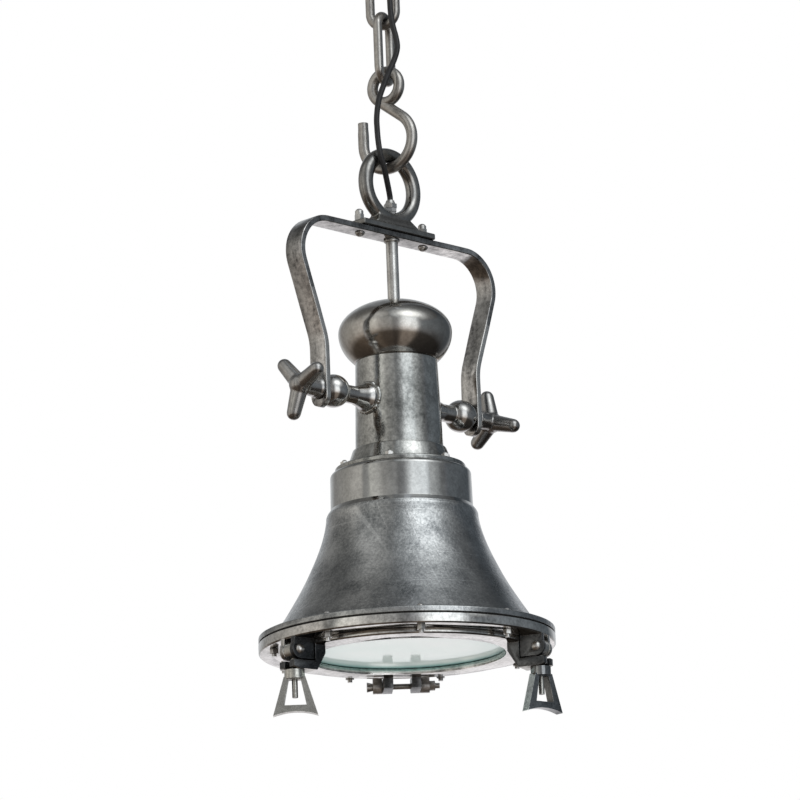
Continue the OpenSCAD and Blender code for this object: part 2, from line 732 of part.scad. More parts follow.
module shade() color("dimgray") difference() {
    rotate_extrude() polygon(concat(
        [[neck_foot_d / 2 - 2 * neck_wall, shade_top_z - seat]],
        edge_arc(drum_d / 2 - 1, shade_top_z - seat, 6),
        [[drum_d / 2, drum_low_z + 5], [drum_d / 2 + 2, drum_low_z + 3], [bell_top_d / 2 - 1, drum_low_z]],
        bell_line(0),
        [[rim_d / 2 - 2, flange_top_z], [rim_d / 2, flange_top_z - 2], [rim_d / 2, flange_low_z],
            [flange_bore, flange_low_z], [flange_bore, flange_top_z]],
        [for (p = reversed(bell_line(shade_wall))) if (p.x < flange_bore) p],
        [[drum_d / 2 - shade_wall, drum_low_z - 2], [drum_d / 2 - shade_wall, shade_top_z - shade_wall],
            [neck_foot_d / 2 - 2 * neck_wall, shade_top_z - shade_wall]]));
    around(rim_screws_n, rim_pcd / 2, front_turn) translate([0, 0, flange_low_z - over])
        cylinder(h = flange_t + 2 * over, r = rim_screw_d / 2 + seat);
    around(6, foot_pcd / 2, 35) translate([0, 0, shade_top_z - shade_wall - over])
        cylinder(h = shade_wall + 2 * over, r = rim_screw_d / 2 + seat);
}

module rim_gasket() color("black") difference() {
    translate([0, 0, rim_top_z + seat]) ring(flange_bore, rim_d / 2 - 2, gasket_t - 2 * seat);
    around(rim_screws_n, rim_pcd / 2, front_turn) translate([0, 0, rim_top_z - over])
        cylinder(h = gasket_t + 2 * over, r = rim_screw_d / 2 + seat);
}

// Rim ring with the dogs' cheeks and the outer hinge knuckles
module rim_ring() color("silver") difference() {
    union() {
        translate([0, 0, rim_z]) rotate_extrude() polygon([[rim_bore, 0], [rim_d / 2 - 1.5, 0],
            [rim_d / 2, 1.5], [rim_d / 2, rim_t - 1], [rim_d / 2 - 1, rim_t], [rim_bore, rim_t]]);
        for (turn = dog_turns) at_dog_pin(turn) for (side = [-1, 1]) cheek(side);
        at_hinge_pin() for (y = (hinge_half - knuckle_w / 2) * [-1, 1]) {
            knuckle(y);
            outer_block(y);
        }
    }
    around(rim_screws_n, rim_pcd / 2, front_turn) translate([0, 0, rim_z - over])
        cylinder(h = rim_t + 2 * over, r = rim_screw_d / 2 + seat);
    for (turn = dog_turns) at_dog_pin(turn) translate([0, -rim_d / 2, 0]) along_y()
        cylinder(h = rim_d, r = dog_pin_d / 2 + seat);
    at_hinge_pin() translate([0, -rim_d / 2, 0]) along_y() cylinder(h = rim_d, r = hinge_pin_d / 2 + seat);
}

// An ear that hangs from the rim ring and carries one end of a dog pin
module cheek(side) {
    y = side * (cheek_gap + cheek_w) / 2;
    translate([0, y - cheek_w / 2, 0]) along_y() cylinder(h = cheek_w, r = cheek_r);
    translate([-cheek_back, y - cheek_w / 2, 0]) cube([cheek_back + cheek_r - 2, cheek_w, dog_drop + 1]);
    translate([-cheek_back, y - cheek_w / 2, -cheek_r]) cube([cheek_back, cheek_w, cheek_r + 1]);
}

// A knuckle at y along the hinge pin
module knuckle(y) translate([0, y - knuckle_w / 2, 0]) along_y() cylinder(h = knuckle_w, r = knuckle_r);

// The block that joins an outer knuckle to the rim ring above it
module outer_block(y) translate([-hinge_out - knuckle_seat, y - knuckle_w / 2, 0])
    cube([hinge_out + knuckle_seat + knuckle_r - 3, knuckle_w, hinge_drop + 1]);

// The block that joins an inner knuckle to the bezel's edge
module inner_block(y) {
    reach = hinge_r - bezel_d / 2 + knuckle_w;
    translate([-reach, y - knuckle_w / 2, -knuckle_r])
        cube([reach, knuckle_w, knuckle_r + hinge_drop - touch - 2]);
}

module rim_screws() color("silver") around(rim_screws_n, rim_pcd / 2, front_turn) {
    translate([0, 0, flange_top_z + seat]) dome_head(rim_head_d, 4);
    translate([0, 0, rim_z - rim_nut_h - rim_tail])
        cylinder(h = flange_top_z + 2 * seat - rim_z + rim_nut_h + rim_tail, d = rim_screw_d);
}

module rim_nuts() color("silver") around(rim_screws_n, rim_pcd / 2, front_turn)
    translate([0, 0, rim_z - rim_nut_h - seat]) difference() {
        hex(rim_nut_af, rim_nut_h);
        translate([0, 0, -over]) cylinder(h = rim_nut_h + 2 * over, r = rim_screw_d / 2 + seat);
    }

// Glazed door

// Bezel plate with its spigot, the inner hinge knuckles and the two forked tongues
module bezel() color("gray") difference() {
    union() {
        translate([0, 0, bezel_z]) rotate_extrude() polygon([
            [bezel_open_d / 2, 0], [bezel_d / 2 - 1.5, 0], [bezel_d / 2, 1.5], [bezel_d / 2, bezel_t],
            [spigot_out, bezel_t], [spigot_out, spigot_top_z - bezel_z], [spigot_in, spigot_top_z - bezel_z],
            [spigot_in, bezel_t], [bezel_open_d / 2, bezel_t]]);
        at_hinge_pin() for (y = (knuckle_gap + knuckle_w) / 2 * [-1, 1]) {
            knuckle(y);
            inner_block(y);
        }
        for (turn = dog_turns) at_rim(turn) tongue();
    }
    at_hinge_pin() translate([0, -rim_d / 2, 0]) along_y() cylinder(h = rim_d, r = hinge_pin_d / 2 + running);
    around(retainer_screws_n, retainer_screw_r, front_turn) translate([0, 0, spigot_top_z - retainer_screw_l])
        cylinder(h = retainer_screw_l + over, r = retainer_screw_d / 2 + seat);
}

// A web down from the bezel and a forked bar under the dog; its end is round about the dog pin
module tongue() difference() {
    translate([0, tongue_half, 0]) rotate([90, 0, 0]) linear_extrude(2 * tongue_half) polygon([
        [tongue_in, -bezel_t / 2], [tongue_in, tongue_z + tongue_slant.y],
        [tongue_in + tongue_slant.x, tongue_z], [tongue_out, tongue_z], [tongue_out, tongue_z + tongue_t],
        [tongue_in + tongue_web, tongue_z + tongue_t], [tongue_in + tongue_web, -bezel_t / 2]]);
    translate([dog_r, -slot_w / 2, tongue_z - over]) cube([tongue_out, slot_w, tongue_t + 2 * over]);
    translate([dog_r, 0, tongue_z - over]) cylinder(h = tongue_t + 2 * over, d = slot_w);
    translate([dog_r, -tongue_half - over, -dog_drop]) difference() {
        translate([0, 0, -2 * nut_seat]) cube([nut_seat, 2 * tongue_half + 2 * over, 2 * nut_seat]);
        along_y() cylinder(h = 2 * tongue_half + 2 * over, r = nut_seat - touch);
    }
}

module glass_pad() color("black") translate([0, 0, bezel_top_z + seat])
    ring(bezel_open_d / 2 + 1, glass_d / 2, pad_t - 2 * seat);

module glass() color("lightcyan", 0.4) translate([0, 0, glass_low_z]) cylinder(h = glass_t - seat, d = glass_d);

module glass_retainer() color("gray") difference() {
    translate([0, 0, spigot_top_z + seat]) ring(retainer_in, spigot_out - 0.5, retainer_t);
    around(retainer_screws_n, retainer_screw_r, front_turn) translate([0, 0, spigot_top_z - over])
        cylinder(h = retainer_t + 2 * over, r = retainer_screw_d / 2 + seat);
}

module retainer_screws() color("silver") around(retainer_screws_n, retainer_screw_r, front_turn)
    translate([0, 0, spigot_top_z + retainer_t + 2 * seat]) {
        dome_head(retainer_screw_d + 2, 1.5);
        translate([0, 0, -retainer_t - retainer_screw_l + 1])
            cylinder(h = retainer_t + retainer_screw_l - 1 + seat, d = retainer_screw_d);
    }

module hinge_pin() color("silver") at_hinge_pin() {
    translate([0, hinge_half + seat, 0]) along_y() cylinder(h = hinge_head_h - seat, d1 = 8, d2 = 11);
    translate([0, -hinge_half - hinge_nut_h - hinge_tail, 0]) along_y()
        cylinder(h = 2 * hinge_half + hinge_head_h + hinge_nut_h + hinge_tail, d = hinge_pin_d);
}

module hinge_nut() color("silver") at_hinge_pin() translate([0, -hinge_half - hinge_nut_h - seat, 0]) along_y()
    difference() {
        hex(10, hinge_nut_h);
        translate([0, 0, -over]) cylinder(h = hinge_nut_h + 2 * over, r = hinge_pin_d / 2 + seat);
    }

// Dogs

module dog_pin(turn, side) at_dog_pin(turn) mirror([0, side, 0]) {
    translate([0, dog_half + seat, 0]) along_y() dome_head(pin_head_d, pin_head_h);
    translate([0, -dog_half - pin_nut_h - 1, 0]) along_y()
        cylinder(h = 2 * dog_half + pin_nut_h + 1 + 2 * seat, d = dog_pin_d);
}

module dog_pin_left() color("silver") dog_pin(dog_turns[0], dog_sides[0]);
module dog_pin_right() color("silver") dog_pin(dog_turns[1], dog_sides[1]);

module dog_pin_nuts() color("silver") for (i = [0, 1]) at_dog_pin(dog_turns[i])
    mirror([0, dog_sides[i], 0]) translate([0, -dog_half - pin_nut_h - seat, 0]) along_y() difference() {
        hex(9, pin_nut_h);
        translate([0, 0, -over]) cylinder(h = pin_nut_h + 2 * over, r = dog_pin_d / 2 + seat);
    }

module swing_bolt(turn) at_dog_pin(turn) difference() {
    union() {
        translate([0, -eye_w / 2, 0]) along_y() cylinder(h = eye_w, r = eye_r);
        translate([0, 0, -bolt_len]) cylinder(h = bolt_len, d = bolt_d);
    }
    translate([0, -eye_w, 0]) along_y() cylinder(h = 2 * eye_w, r = dog_pin_d / 2 + running);
}

module swing_bolt_left() color("silver") swing_bolt(dog_turns[0]);
module swing_bolt_right() color("silver") swing_bolt(dog_turns[1]);

// Wing nut: a round hub on a three-sided frame with a window, its foot arched
module wing_nut(turn, face) at_dog_pin(turn) translate([0, 0, -nut_seat]) rotate([0, 0, face - turn])
    difference() {
        union() {
            translate([0, 0, -hub_h]) cylinder(h = hub_h, d = hub_d);
            translate([nut_t / 2, 0, 0]) rotate([0, -90, 0]) linear_extrude(nut_t) difference() {
                polygon([[-hub_h + 2, -nut_head_w / 2], [-nut_h, -nut_foot_w / 2], [-nut_h, nut_foot_w / 2],
                    [-hub_h + 2, nut_head_w / 2]]);
                polygon([[-hub_h - 1, -window_top_w / 2], [-nut_h + nut_arch + nut_bar, -window_foot_w / 2],
                    [-nut_h + nut_arch + nut_bar, window_foot_w / 2], [-hub_h - 1, window_top_w / 2]]);
                translate([-nut_h + nut_arch - arch_r(), 0]) circle(r = arch_r());
            }
        }
        translate([0, 0, -hub_h - 6]) cylinder(h = hub_h + 6 + over, r = bolt_d / 2 + running);
    }

function arch_r() = (nut_foot_w * nut_foot_w / 4 + nut_arch * nut_arch) / (2 * nut_arch);

module wing_nut_left() color("dimgray") wing_nut(dog_turns[0], nut_turns[0]);
module wing_nut_right() color("dimgray") wing_nut(dog_turns[1], nut_turns[1]);

// Light

module lampholder_cap() color("darkslategray") translate([0, 0, holder_z - holder_cap_h]) difference() {
    cylinder(h = holder_cap_h, d1 = holder_d, d2 = stem_d + 8);
    translate([0, 0, 3]) cylinder(h = holder_cap_h, r = stem_d / 2 + seat);
    translate([0, 0, -over]) cylinder(h = 4 + over, d = cord_d + 2 * cord_fit);
}

holder_low_z = holder_z - holder_cap_h - holder_h;
core_h = 12;

module lampholder_shell() color("darkslategray") translate([0, 0, holder_low_z]) difference() {
    cylinder(h = holder_h - seat, d = holder_d);
    translate([0, 0, -over]) cylinder(h = holder_h + 2 * over, r = thread_d / 2 + 3);
}

module lampholder_core() color("ivory") translate([0, 0, holder_low_z + holder_h - core_h - 2 * seat])
    cylinder(h = core_h, r = thread_d / 2 + 3 - seat);

bulb_top_z = holder_low_z + holder_h - core_h - 3 * seat;

module bulb_cap() color("silver") translate([0, 0, bulb_top_z - thread_h - 4]) rotate_extrude() polygon(concat(
    [[0, 0], [thread_d / 2, 0]],
    [for (i = [0 : 6]) [thread_d / 2 - (i % 2) * 1.2, 1 + i * (thread_h - 2) / 6]],
    [[thread_d / 2 - 4, thread_h], [4, thread_h + 3], [4, thread_h + 4], [0, thread_h + 4]]));

module bulb_glass() color("white", 0.6) translate([0, 0, bulb_top_z - thread_h - 4 - seat])
    rotate_extrude() polygon(concat(
    [[0, 0], [bulb_neck_d / 2 - 3, 0], [bulb_neck_d / 2 - 1, -6]],
    [for (i = [0 : 14]) let (a = 55 - 145 * i / 14)
        [bulb_d / 2 * cos(a), -bulb_len + bulb_d / 2 + bulb_d / 2 * sin(a)]]));

// Cord

function heading(i) =
    let (d = cord_route[min(i + 1, len(cord_route) - 1)] - cord_route[max(i - 1, 0)]) d / norm(d);

function cord_ring(i, sides) =
    let (t = heading(i), x = [1, 0, 0] - t * t.x, u = x / norm(x), v = cross(t, u))
    [for (k = [0 : sides - 1]) let (a = 360 * k / sides) cord_route[i] + cord_d / 2 * (cos(a) * u + sin(a) * v)];

// A tube along one run of the route; neighbouring runs share the ring where they meet
module cord_run(run) {
    sides = 10;
    from = cord_cuts[run];
    to = cord_cuts[run + 1];
    last = (to - from) * sides;
    points = [for (i = [from : to]) each cord_ring(i, sides)];
    sleeve = [for (i = [0 : to - from - 1], k = [0 : sides - 1]) let (a = i * sides, b = (k + 1) % sides) each [
        [a + k, a + sides + k, a + b], [a + b, a + sides + k, a + sides + b]]];
    polyhedron(points, concat(sleeve, [[for (k = [0 : sides - 1]) k]],
        [[for (k = [sides - 1 : -1 : 0]) last + k]]));
}

module cord_top() color("black") cord_run(0);
module cord_upper() color("black") cord_run(1);
module cord_middle() color("black") cord_run(2);
module cord_lower() color("black") cord_run(3);

ceiling_plate();
ceiling_hook();
ceiling_cord_grip();
chain_link_upper();
chain_link_lower();
eye_hook();
suspension_ring();
base_bolts();
base_nuts();
cord_gland();
gland_nut();
yoke();
stem_tube();
stem_collar();
inner_cord();
trunnion_left();
trunnion_right();
knob_left();
knob_right();
dome_cap();
neck();
neck_screws();
shade();
rim_gasket();
rim_ring();
rim_screws();
rim_nuts();
bezel();
glass_pad();
glass();
glass_retainer();
retainer_screws();
hinge_pin();
hinge_nut();
dog_pin_left();
dog_pin_right();
dog_pin_nuts();
swing_bolt_left();
swing_bolt_right();
wing_nut_left();
wing_nut_right();
lampholder_cap();
lampholder_shell();
lampholder_core();
bulb_cap();
bulb_glass();
cord_top();
cord_upper();
cord_middle();
cord_lower();
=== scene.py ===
"""Looks of a nautical pendant lamp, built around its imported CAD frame.

Lengths are in millimetres. Those of materials, stage, lamps and camera are in metres.
"""

import json
import math

import bmesh
import bpy
from mathutils import Matrix, Vector, noise


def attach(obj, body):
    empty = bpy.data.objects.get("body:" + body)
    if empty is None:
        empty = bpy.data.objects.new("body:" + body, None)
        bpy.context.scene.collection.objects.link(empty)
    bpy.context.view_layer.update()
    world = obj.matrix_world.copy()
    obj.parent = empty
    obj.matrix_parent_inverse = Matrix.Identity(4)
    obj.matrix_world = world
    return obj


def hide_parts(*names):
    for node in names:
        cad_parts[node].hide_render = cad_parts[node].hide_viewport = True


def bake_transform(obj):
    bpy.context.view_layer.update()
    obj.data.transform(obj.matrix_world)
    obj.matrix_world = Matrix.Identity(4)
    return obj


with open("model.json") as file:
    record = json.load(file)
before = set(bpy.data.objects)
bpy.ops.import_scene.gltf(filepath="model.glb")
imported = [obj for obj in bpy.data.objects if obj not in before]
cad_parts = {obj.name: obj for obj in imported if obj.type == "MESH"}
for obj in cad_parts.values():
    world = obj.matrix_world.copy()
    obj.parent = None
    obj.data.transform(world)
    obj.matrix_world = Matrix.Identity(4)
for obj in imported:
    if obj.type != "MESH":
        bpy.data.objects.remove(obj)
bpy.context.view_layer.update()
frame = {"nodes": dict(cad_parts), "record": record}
nodes = frame["nodes"]
node_body = {n: b for b, names in frame["record"]["behaviour"]["bodies"].items() for n in names}

# Units and directions
MM = 0.001
ALONG_X = Vector((1, 0, 0))
ALONG_Y = Vector((0, 1, 0))

# Levels, as in the part's source
GRIP_Z = -26.0
CEILING_Z = -76.0
UPPER_TOP_Z = -65.7
UPPER_LOW_Z = -139.7
LOWER_TOP_Z = -129.4
LOWER_LOW_Z = -203.4
EYE_Z = -209.1
RING_Z = -322.3
GLAND_TOP_Z = -336.8
YOKE_LOW_Z = -380.8
CAP_Z = -483.8
NECK_TOP_Z = -515.8
PIVOT_Z = -560.8
SHADE_TOP_Z = -635.3
DRUM_LOW_Z = -681.3
FLANGE_TOP_Z = -808.3
FLANGE_LOW_Z = -814.3
RIM_Z = -826.3
BEZEL_Z = RIM_Z - 6

# Directions of the door's hinge and of its two dogs
HINGE_WAY = Vector((math.cos(math.radians(48)), math.sin(math.radians(48)), 0))
DOG_LEFT = math.radians(173)
DOG_RIGHT = math.radians(293)

# Shading and fineness of the shapes, in degrees and millimetres
TURNED_SHARP = 40
SWEPT_SHARP = 50
EASED_SHARP = 38
FILLET_STEP = 14
EDGE_ANGLE = 32
EDGE_SEGMENTS = 2
WIDE_EDGE = 1.3
CASTING_GRAIN = 0.03
SAME_POINT = 0.002
FLAT_WITHIN = 0.5


# Shape helpers


def smooth(mesh):
    mesh.polygons.foreach_set("use_smooth", [True] * len(mesh.polygons))


def as_object(name, mesh, sharp=TURNED_SHARP):
    smooth(mesh)
    mesh.set_sharp_from_angle(angle=math.radians(sharp))
    obj = bpy.data.objects.new(name, mesh)
    bpy.context.scene.collection.objects.link(obj)
    return obj


def stand_for(obj, node, material):
    """obj takes the place, body and finish of one CAD node."""
    obj.data.materials.clear()
    obj.data.materials.append(material)
    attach(obj, node_body[node])
    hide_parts(node)
    return obj


def bake(obj):
    """Works the object's modifiers into its mesh."""
    bpy.context.view_layer.update()
    mesh = bpy.data.meshes.new_from_object(obj.evaluated_get(bpy.context.evaluated_depsgraph_get()))
    obj.modifiers.clear()
    obj.data = mesh


def closed_mesh(bm, name):
    """The mesh of a finished bmesh, with its faces turned outward."""
    bmesh.ops.recalc_face_normals(bm, faces=bm.faces)
    mesh = bpy.data.meshes.new(name)
    bm.to_mesh(mesh)
    bm.free()
    return mesh


def fillet(points, closed=True):
    """An outline of (r, z) or (r, z, radius) points, with an arc at each point that has a radius."""
    out = []
    count = len(points)
    for i, p in enumerate(points):
        radius = p[2] if len(p) > 2 else 0
        here = Vector(p[:2])
        if radius == 0 or (not closed and i in (0, count - 1)):
            out.append(here)
            continue
        to_last = (Vector(points[i - 1][:2]) - here).normalized()
        to_next = (Vector(points[(i + 1) % count][:2]) - here).normalized()
        half = to_last.angle(to_next) / 2
        reach = radius / math.tan(half)
        centre = here + (to_last + to_next).normalized() * radius / math.sin(half)
        a = here + to_last * reach - centre
        b = here + to_next * reach - centre
        span = a.angle_signed(b)
        steps = max(2, int(abs(span) / math.radians(FILLET_STEP)))
        for k in range(steps + 1):
            out.append(centre + Matrix.Rotation(-span * k / steps, 2) @ a)
    return out


def lathe(name, outline, steps=180, wobble=0.0, seed=0.0):
    """A closed outline of (r, z) turned about the lamp axis, with a slight unevenness of the casting."""
    bm = bmesh.new()
    rings = []
    for r, z in outline:
        ring = []
        for k in range(steps):
            a = 2 * math.pi * k / steps
            outward = Vector((math.cos(a), math.sin(a), 0))
            p = Vector((r * math.cos(a), r * math.sin(a), z))
            p += outward * wobble * noise.noise(p * CASTING_GRAIN + ALONG_X * seed)
            ring.append(bm.verts.new(p * MM))
        rings.append(ring)
    for i, ring in enumerate(rings):
        after = rings[(i + 1) % len(rings)]
        for k in range(steps):
            n = (k + 1) % steps
            bm.faces.new((ring[k], ring[n], after[n], after[k]))
    return as_object(name, closed_mesh(bm, name))


def sweep(name, path, section, closed=False, up=ALONG_Y):
    """A section along a path: (side, up) points, or a function of the place from 0 to 1 that gives them."""
    bm = bmesh.new()
    count = len(path)
    rings = []
    across = up
    for i, p in enumerate(path):
        if closed:
            way = path[(i + 1) % count] - path[i - 1]
        else:
            way = path[min(i + 1, count - 1)] - path[max(i - 1, 0)]
        way.normalize()
        side = (across - way * across.dot(way)).normalized()
        across = side
        other = way.cross(side)
        shape = section(i / (count - 1)) if callable(section) else section
        rings.append([bm.verts.new((p + side * u + other * v) * MM) for u, v in shape])
    size = len(rings[0])
    for i in range(count if closed else count - 1):
        here = rings[i]
        after = rings[(i + 1) % count]
        for k in range(size):
            n = (k + 1) % size
            bm.faces.new((here[k], here[n], after[n], after[k]))
    if not closed:
        bm.faces.new(rings[0])
        bm.faces.new(rings[-1])
    return as_object(name, closed_mesh(bm, name), SWEPT_SHARP)


def circle(radius, sides):
    turns = [2 * math.pi * k / sides for k in range(sides)]
    return [(radius * math.cos(a), radius * math.sin(a)) for a in turns]


def arc(cx, cz, r, a0, a1, steps):
    turns = [math.radians(a0 + (a1 - a0) * k / steps) for k in range(steps + 1)]
    return [(cx + r * math.cos(a), cz + r * math.sin(a)) for a in turns]


def between(a, b, steps):
    """The points that divide the way from a to b, without its ends."""
    parts = [k / steps for k in range(1, steps)]
    return [(a[0] + (b[0] - a[0]) * t, a[1] + (b[1] - a[1]) * t) for t in parts]


def upright(points, turn, z):
    """Points of an upright plane through the lamp axis, turned by some degrees."""
    c = math.cos(math.radians(turn))
    s = math.sin(math.radians(turn))
    return [Vector((x * c, x * s, z + dz)) for x, dz in points]


def across_plane(turn):
    return Vector((-math.sin(math.radians(turn)), math.cos(math.radians(turn)), 0))


def smooth_line(points, per_span):
    """A Catmull-Rom line through the points."""
    pts = [points[0] * 2 - points[1]] + points + [points[-1] * 2 - points[-2]]
    out = []
    for i in range(1, len(pts) - 2):
        a, b, c, d = pts[i - 1:i + 3]
        for k in range(per_span):
            t = k / per_span
            square = (2 * a - 5 * b + 4 * c - d) * t * t
            cube = (3 * b - a - 3 * c + d) * t * t * t
            out.append(0.5 * (2 * b + (c - a) * t + square + cube))
    out.append(points[-1].copy())
    return out


def eased(node, width, material):
    """A copy of a CAD node with its edges broken, in its place. Wide edges are shaded as one round."""
    bm = bmesh.new()
    bm.from_mesh(nodes[node].data)
    bmesh.ops.remove_doubles(bm, verts=bm.verts, dist=SAME_POINT * MM)
    flat = math.radians(FLAT_WITHIN)
    bmesh.ops.dissolve_limit(bm, angle_limit=flat, verts=bm.verts, edges=bm.edges)
    mesh = bpy.data.meshes.new(node + "_eased")
    bm.to_mesh(mesh)
    bm.free()
    obj = as_object(node + "_eased", mesh)
    bevel = obj.modifiers.new("edges", "BEVEL")
    bevel.width = width * MM
    bevel.segments = EDGE_SEGMENTS
    bevel.limit_method = "ANGLE"
    bevel.angle_limit = math.radians(EDGE_ANGLE)
    if width < WIDE_EDGE:
        obj.modifiers.new("flat_faces", "WEIGHTED_NORMAL").keep_sharp = True
    bake(obj)
    if width >= WIDE_EDGE:
        smooth(obj.data)
        obj.data.set_sharp_from_angle(angle=math.radians(EASED_SHARP))
    return stand_for(obj, node, material)


def melted(node, voxel, passes, material):
    """A copy of a CAD node as one smooth casting, in its place."""
    obj = as_object(node + "_cast", nodes[node].data.copy())
    remesh = obj.modifiers.new("skin", "REMESH")
    remesh.mode = "VOXEL"
    remesh.voxel_size = voxel * MM
    soft = obj.modifiers.new("soft", "SMOOTH")
    soft.factor = 0.5
    soft.iterations = passes
    bake(obj)
    smooth(obj.data)
    return stand_for(obj, node, material)


def paint(obj, material, test):
    """Gives one more material to the faces whose middle, in millimetres, and normal pass the test."""
    obj.data.materials.append(material)
    index = len(obj.data.materials) - 1
    for face in obj.data.polygons:
        if test(face.center / MM, face.normal):
            face.material_index = index


# Shader helpers


class Graph:
    """Short hand for a node tree."""

    def __init__(self, tree):
        self.tree = tree

    def add(self, kind, **settings):
        made = self.tree.nodes.new(kind)
        for key, value in settings.items():
            setattr(made, key, value)
        return made

    def link(self, out, to):
        self.tree.links.new(out, to)

    def feed(self, slot, value):
        """Sets a socket to a number or colour, or links it."""
        if isinstance(value, (int, float)):
            slot.default_value = value
        elif isinstance(value, tuple):
            slot.default_value = (*value, 1)
        else:
            self.link(value, slot)

    def math(self, operation, a, b):
        made = self.add("ShaderNodeMath", operation=operation)
        self.feed(made.inputs[0], a)
        self.feed(made.inputs[1], b)
        return made.outputs["Value"]

    def mix(self, factor, a, b, blend="MIX"):
        made = self.add("ShaderNodeMix", data_type="RGBA", blend_type=blend)
        self.feed(made.inputs[0], factor)
        self.feed(made.inputs[6], a)
        self.feed(made.inputs[7], b)
        return made.outputs[2]

    def ramp(self, value, *stops):
        """A ramp of (place, grey or colour) stops."""
        made = self.add("ShaderNodeValToRGB")
        elements = made.color_ramp.elements
        while len(elements) < len(stops):
            elements.new(0.5)
        for element, (at, colour) in zip(elements, stops):
            element.position = at
            if isinstance(colour, (int, float)):
                colour = (colour, colour, colour)
            element.color = (*colour, 1)
        self.link(value, made.inputs["Fac"])
        return made.outputs["Color"]


class Surface(Graph):
    """Short hand for a material's node tree."""

    def __init__(self, name):
        self.material = bpy.data.materials.new(name)
        self.material.use_nodes = True
        super().__init__(self.material.node_tree)
        self.shader = self.tree.nodes["Principled BSDF"]
        self.place = self.add("ShaderNodeTexCoord").outputs["Object"]

    def noise(self, scale, detail=4.0, rough=0.55, stretch=(1, 1, 1), turn=(0, 0, 0), shift=0.0):
        made = self.add("ShaderNodeTexNoise")
        made.inputs["Scale"].default_value = scale
        made.inputs["Detail"].default_value = detail
        made.inputs["Roughness"].default_value = rough
        spread = self.add("ShaderNodeMapping")
        spread.inputs["Scale"].default_value = stretch
        spread.inputs["Rotation"].default_value = turn
        spread.inputs["Location"].default_value = (shift, shift, shift)
        self.link(self.place, spread.inputs["Vector"])
        self.link(spread.outputs["Vector"], made.inputs["Vector"])
        return made.outputs["Fac"]

    def set(self, name, value):
        self.shader.inputs[name].default_value = value

    def plug(self, name, value):
        self.link(value, self.shader.inputs[name])

    def bump(self, height, strength, distance):
        made = self.add("ShaderNodeBump")
        made.inputs["Strength"].default_value = strength
        made.inputs["Distance"].default_value = distance
        self.link(height, made.inputs["Height"])
        self.plug("Normal", made.outputs["Normal"])


def dimmed(colour, share):
    return tuple(c * share for c in colour)


def lifted(colour, share=1.0, add=0.0):
    return tuple(min(1, c * share + add) for c in colour)


# Reach of the dirt and painted shade from a corner, width of worn edges, and depth of the relief
DIRT_AND_SHADE_REACH = 0.012
WORN_EDGE = 0.0011
METAL_RELIEF = 0.0006
PLAIN_RELIEF = 0.0002

# Two sets of long scratches: scale, stretch, turn, shift and threshold
SCRATCHES = (
    (9, (50, 1, 1), (0.3, 0.5, 0.4), 1.3, 0.72),
    (8, (1, 1, 60), (0.2, 0.7, 0.3), 9.4, 0.73))


def metal(name, dark, light, rough, grain, pits, dirt_and_shade, scratches=0.0, wear=0.5, patches=0.0,
          streaks=(1, 1, 1)):
    """Plated metal: clouded patina, specks, long scratches, dirt and painted shade in the corners, and
    bright worn edges.
    """
    n = Surface(name)
    n.set("Metallic", 1.0)
    cloud = n.noise(26 * grain, detail=7, rough=0.62, stretch=streaks)
    speck = n.noise(300 * grain, detail=5, rough=0.72, shift=3.1)
    pit = n.noise(560 * grain, detail=3, rough=0.6, shift=7.7)
    tone = n.math("ADD", n.math("MULTIPLY", cloud, 0.55), n.math("MULTIPLY", speck, 0.45))
    colour = n.ramp(tone, (0.37, dark), (0.60, light))
    if patches:
        broad = n.noise(7.0, detail=3, rough=0.5, stretch=(1, 1, 0.55), shift=11.0)
        share = n.ramp(broad, (0.42, patches), (0.58, 0.0))
        colour = n.mix(share, colour, dimmed(dark, 0.45))
    if scratches:
        lines = []
        for scale, stretch, turn, shift, edge in SCRATCHES:
            field = n.noise(scale, detail=0, rough=0.5, stretch=stretch, turn=turn, shift=shift)
            lines.append(n.ramp(field, (edge, 0.0), (edge + 0.05, 1.0)))
        scored = n.math("MULTIPLY", n.math("MAXIMUM", *lines), scratches)
        colour = n.mix(scored, colour, lifted(light, share=1.45))
    # Dirt and painted shade: corners found by ambient occlusion are darkened toward a dim copy of the dark
    # colour.
    shade = n.add("ShaderNodeAmbientOcclusion", samples=6)
    shade.inputs["Distance"].default_value = DIRT_AND_SHADE_REACH
    corner = n.ramp(shade.outputs["AO"], (0.25, 1.0), (0.85, 0.0))
    colour = n.mix(n.math("MULTIPLY", corner, dirt_and_shade), colour, dimmed(dark, 0.22))
    if wear:
        bevel = n.add("ShaderNodeBevel", samples=4)
        bevel.inputs["Radius"].default_value = WORN_EDGE
        surface = n.add("ShaderNodeNewGeometry")
        facing = n.add("ShaderNodeVectorMath", operation="DOT_PRODUCT")
        n.link(bevel.outputs["Normal"], facing.inputs[0])
        n.link(surface.outputs["Normal"], facing.inputs[1])
        edge = n.ramp(facing.outputs["Value"], (0.90, 1.0), (0.985, 0.0))
        uneven = n.math("MULTIPLY", n.ramp(speck, (0.35, 0.2), (0.6, 1.0)), wear)
        colour = n.mix(n.math("MULTIPLY", edge, uneven), colour, lifted(light, add=0.25))
    n.plug("Base Color", colour)
    low, high = rough
    spread = n.ramp(tone, (0.34, high), (0.64, low))
    n.plug("Roughness", n.math("ADD", spread, n.math("MULTIPLY", corner, 0.25)))
    height = n.math("ADD", n.math("MULTIPLY", pit, 0.4), n.math("MULTIPLY", speck, 0.6))
    n.bump(height, pits, distance=METAL_RELIEF)
    return n.material


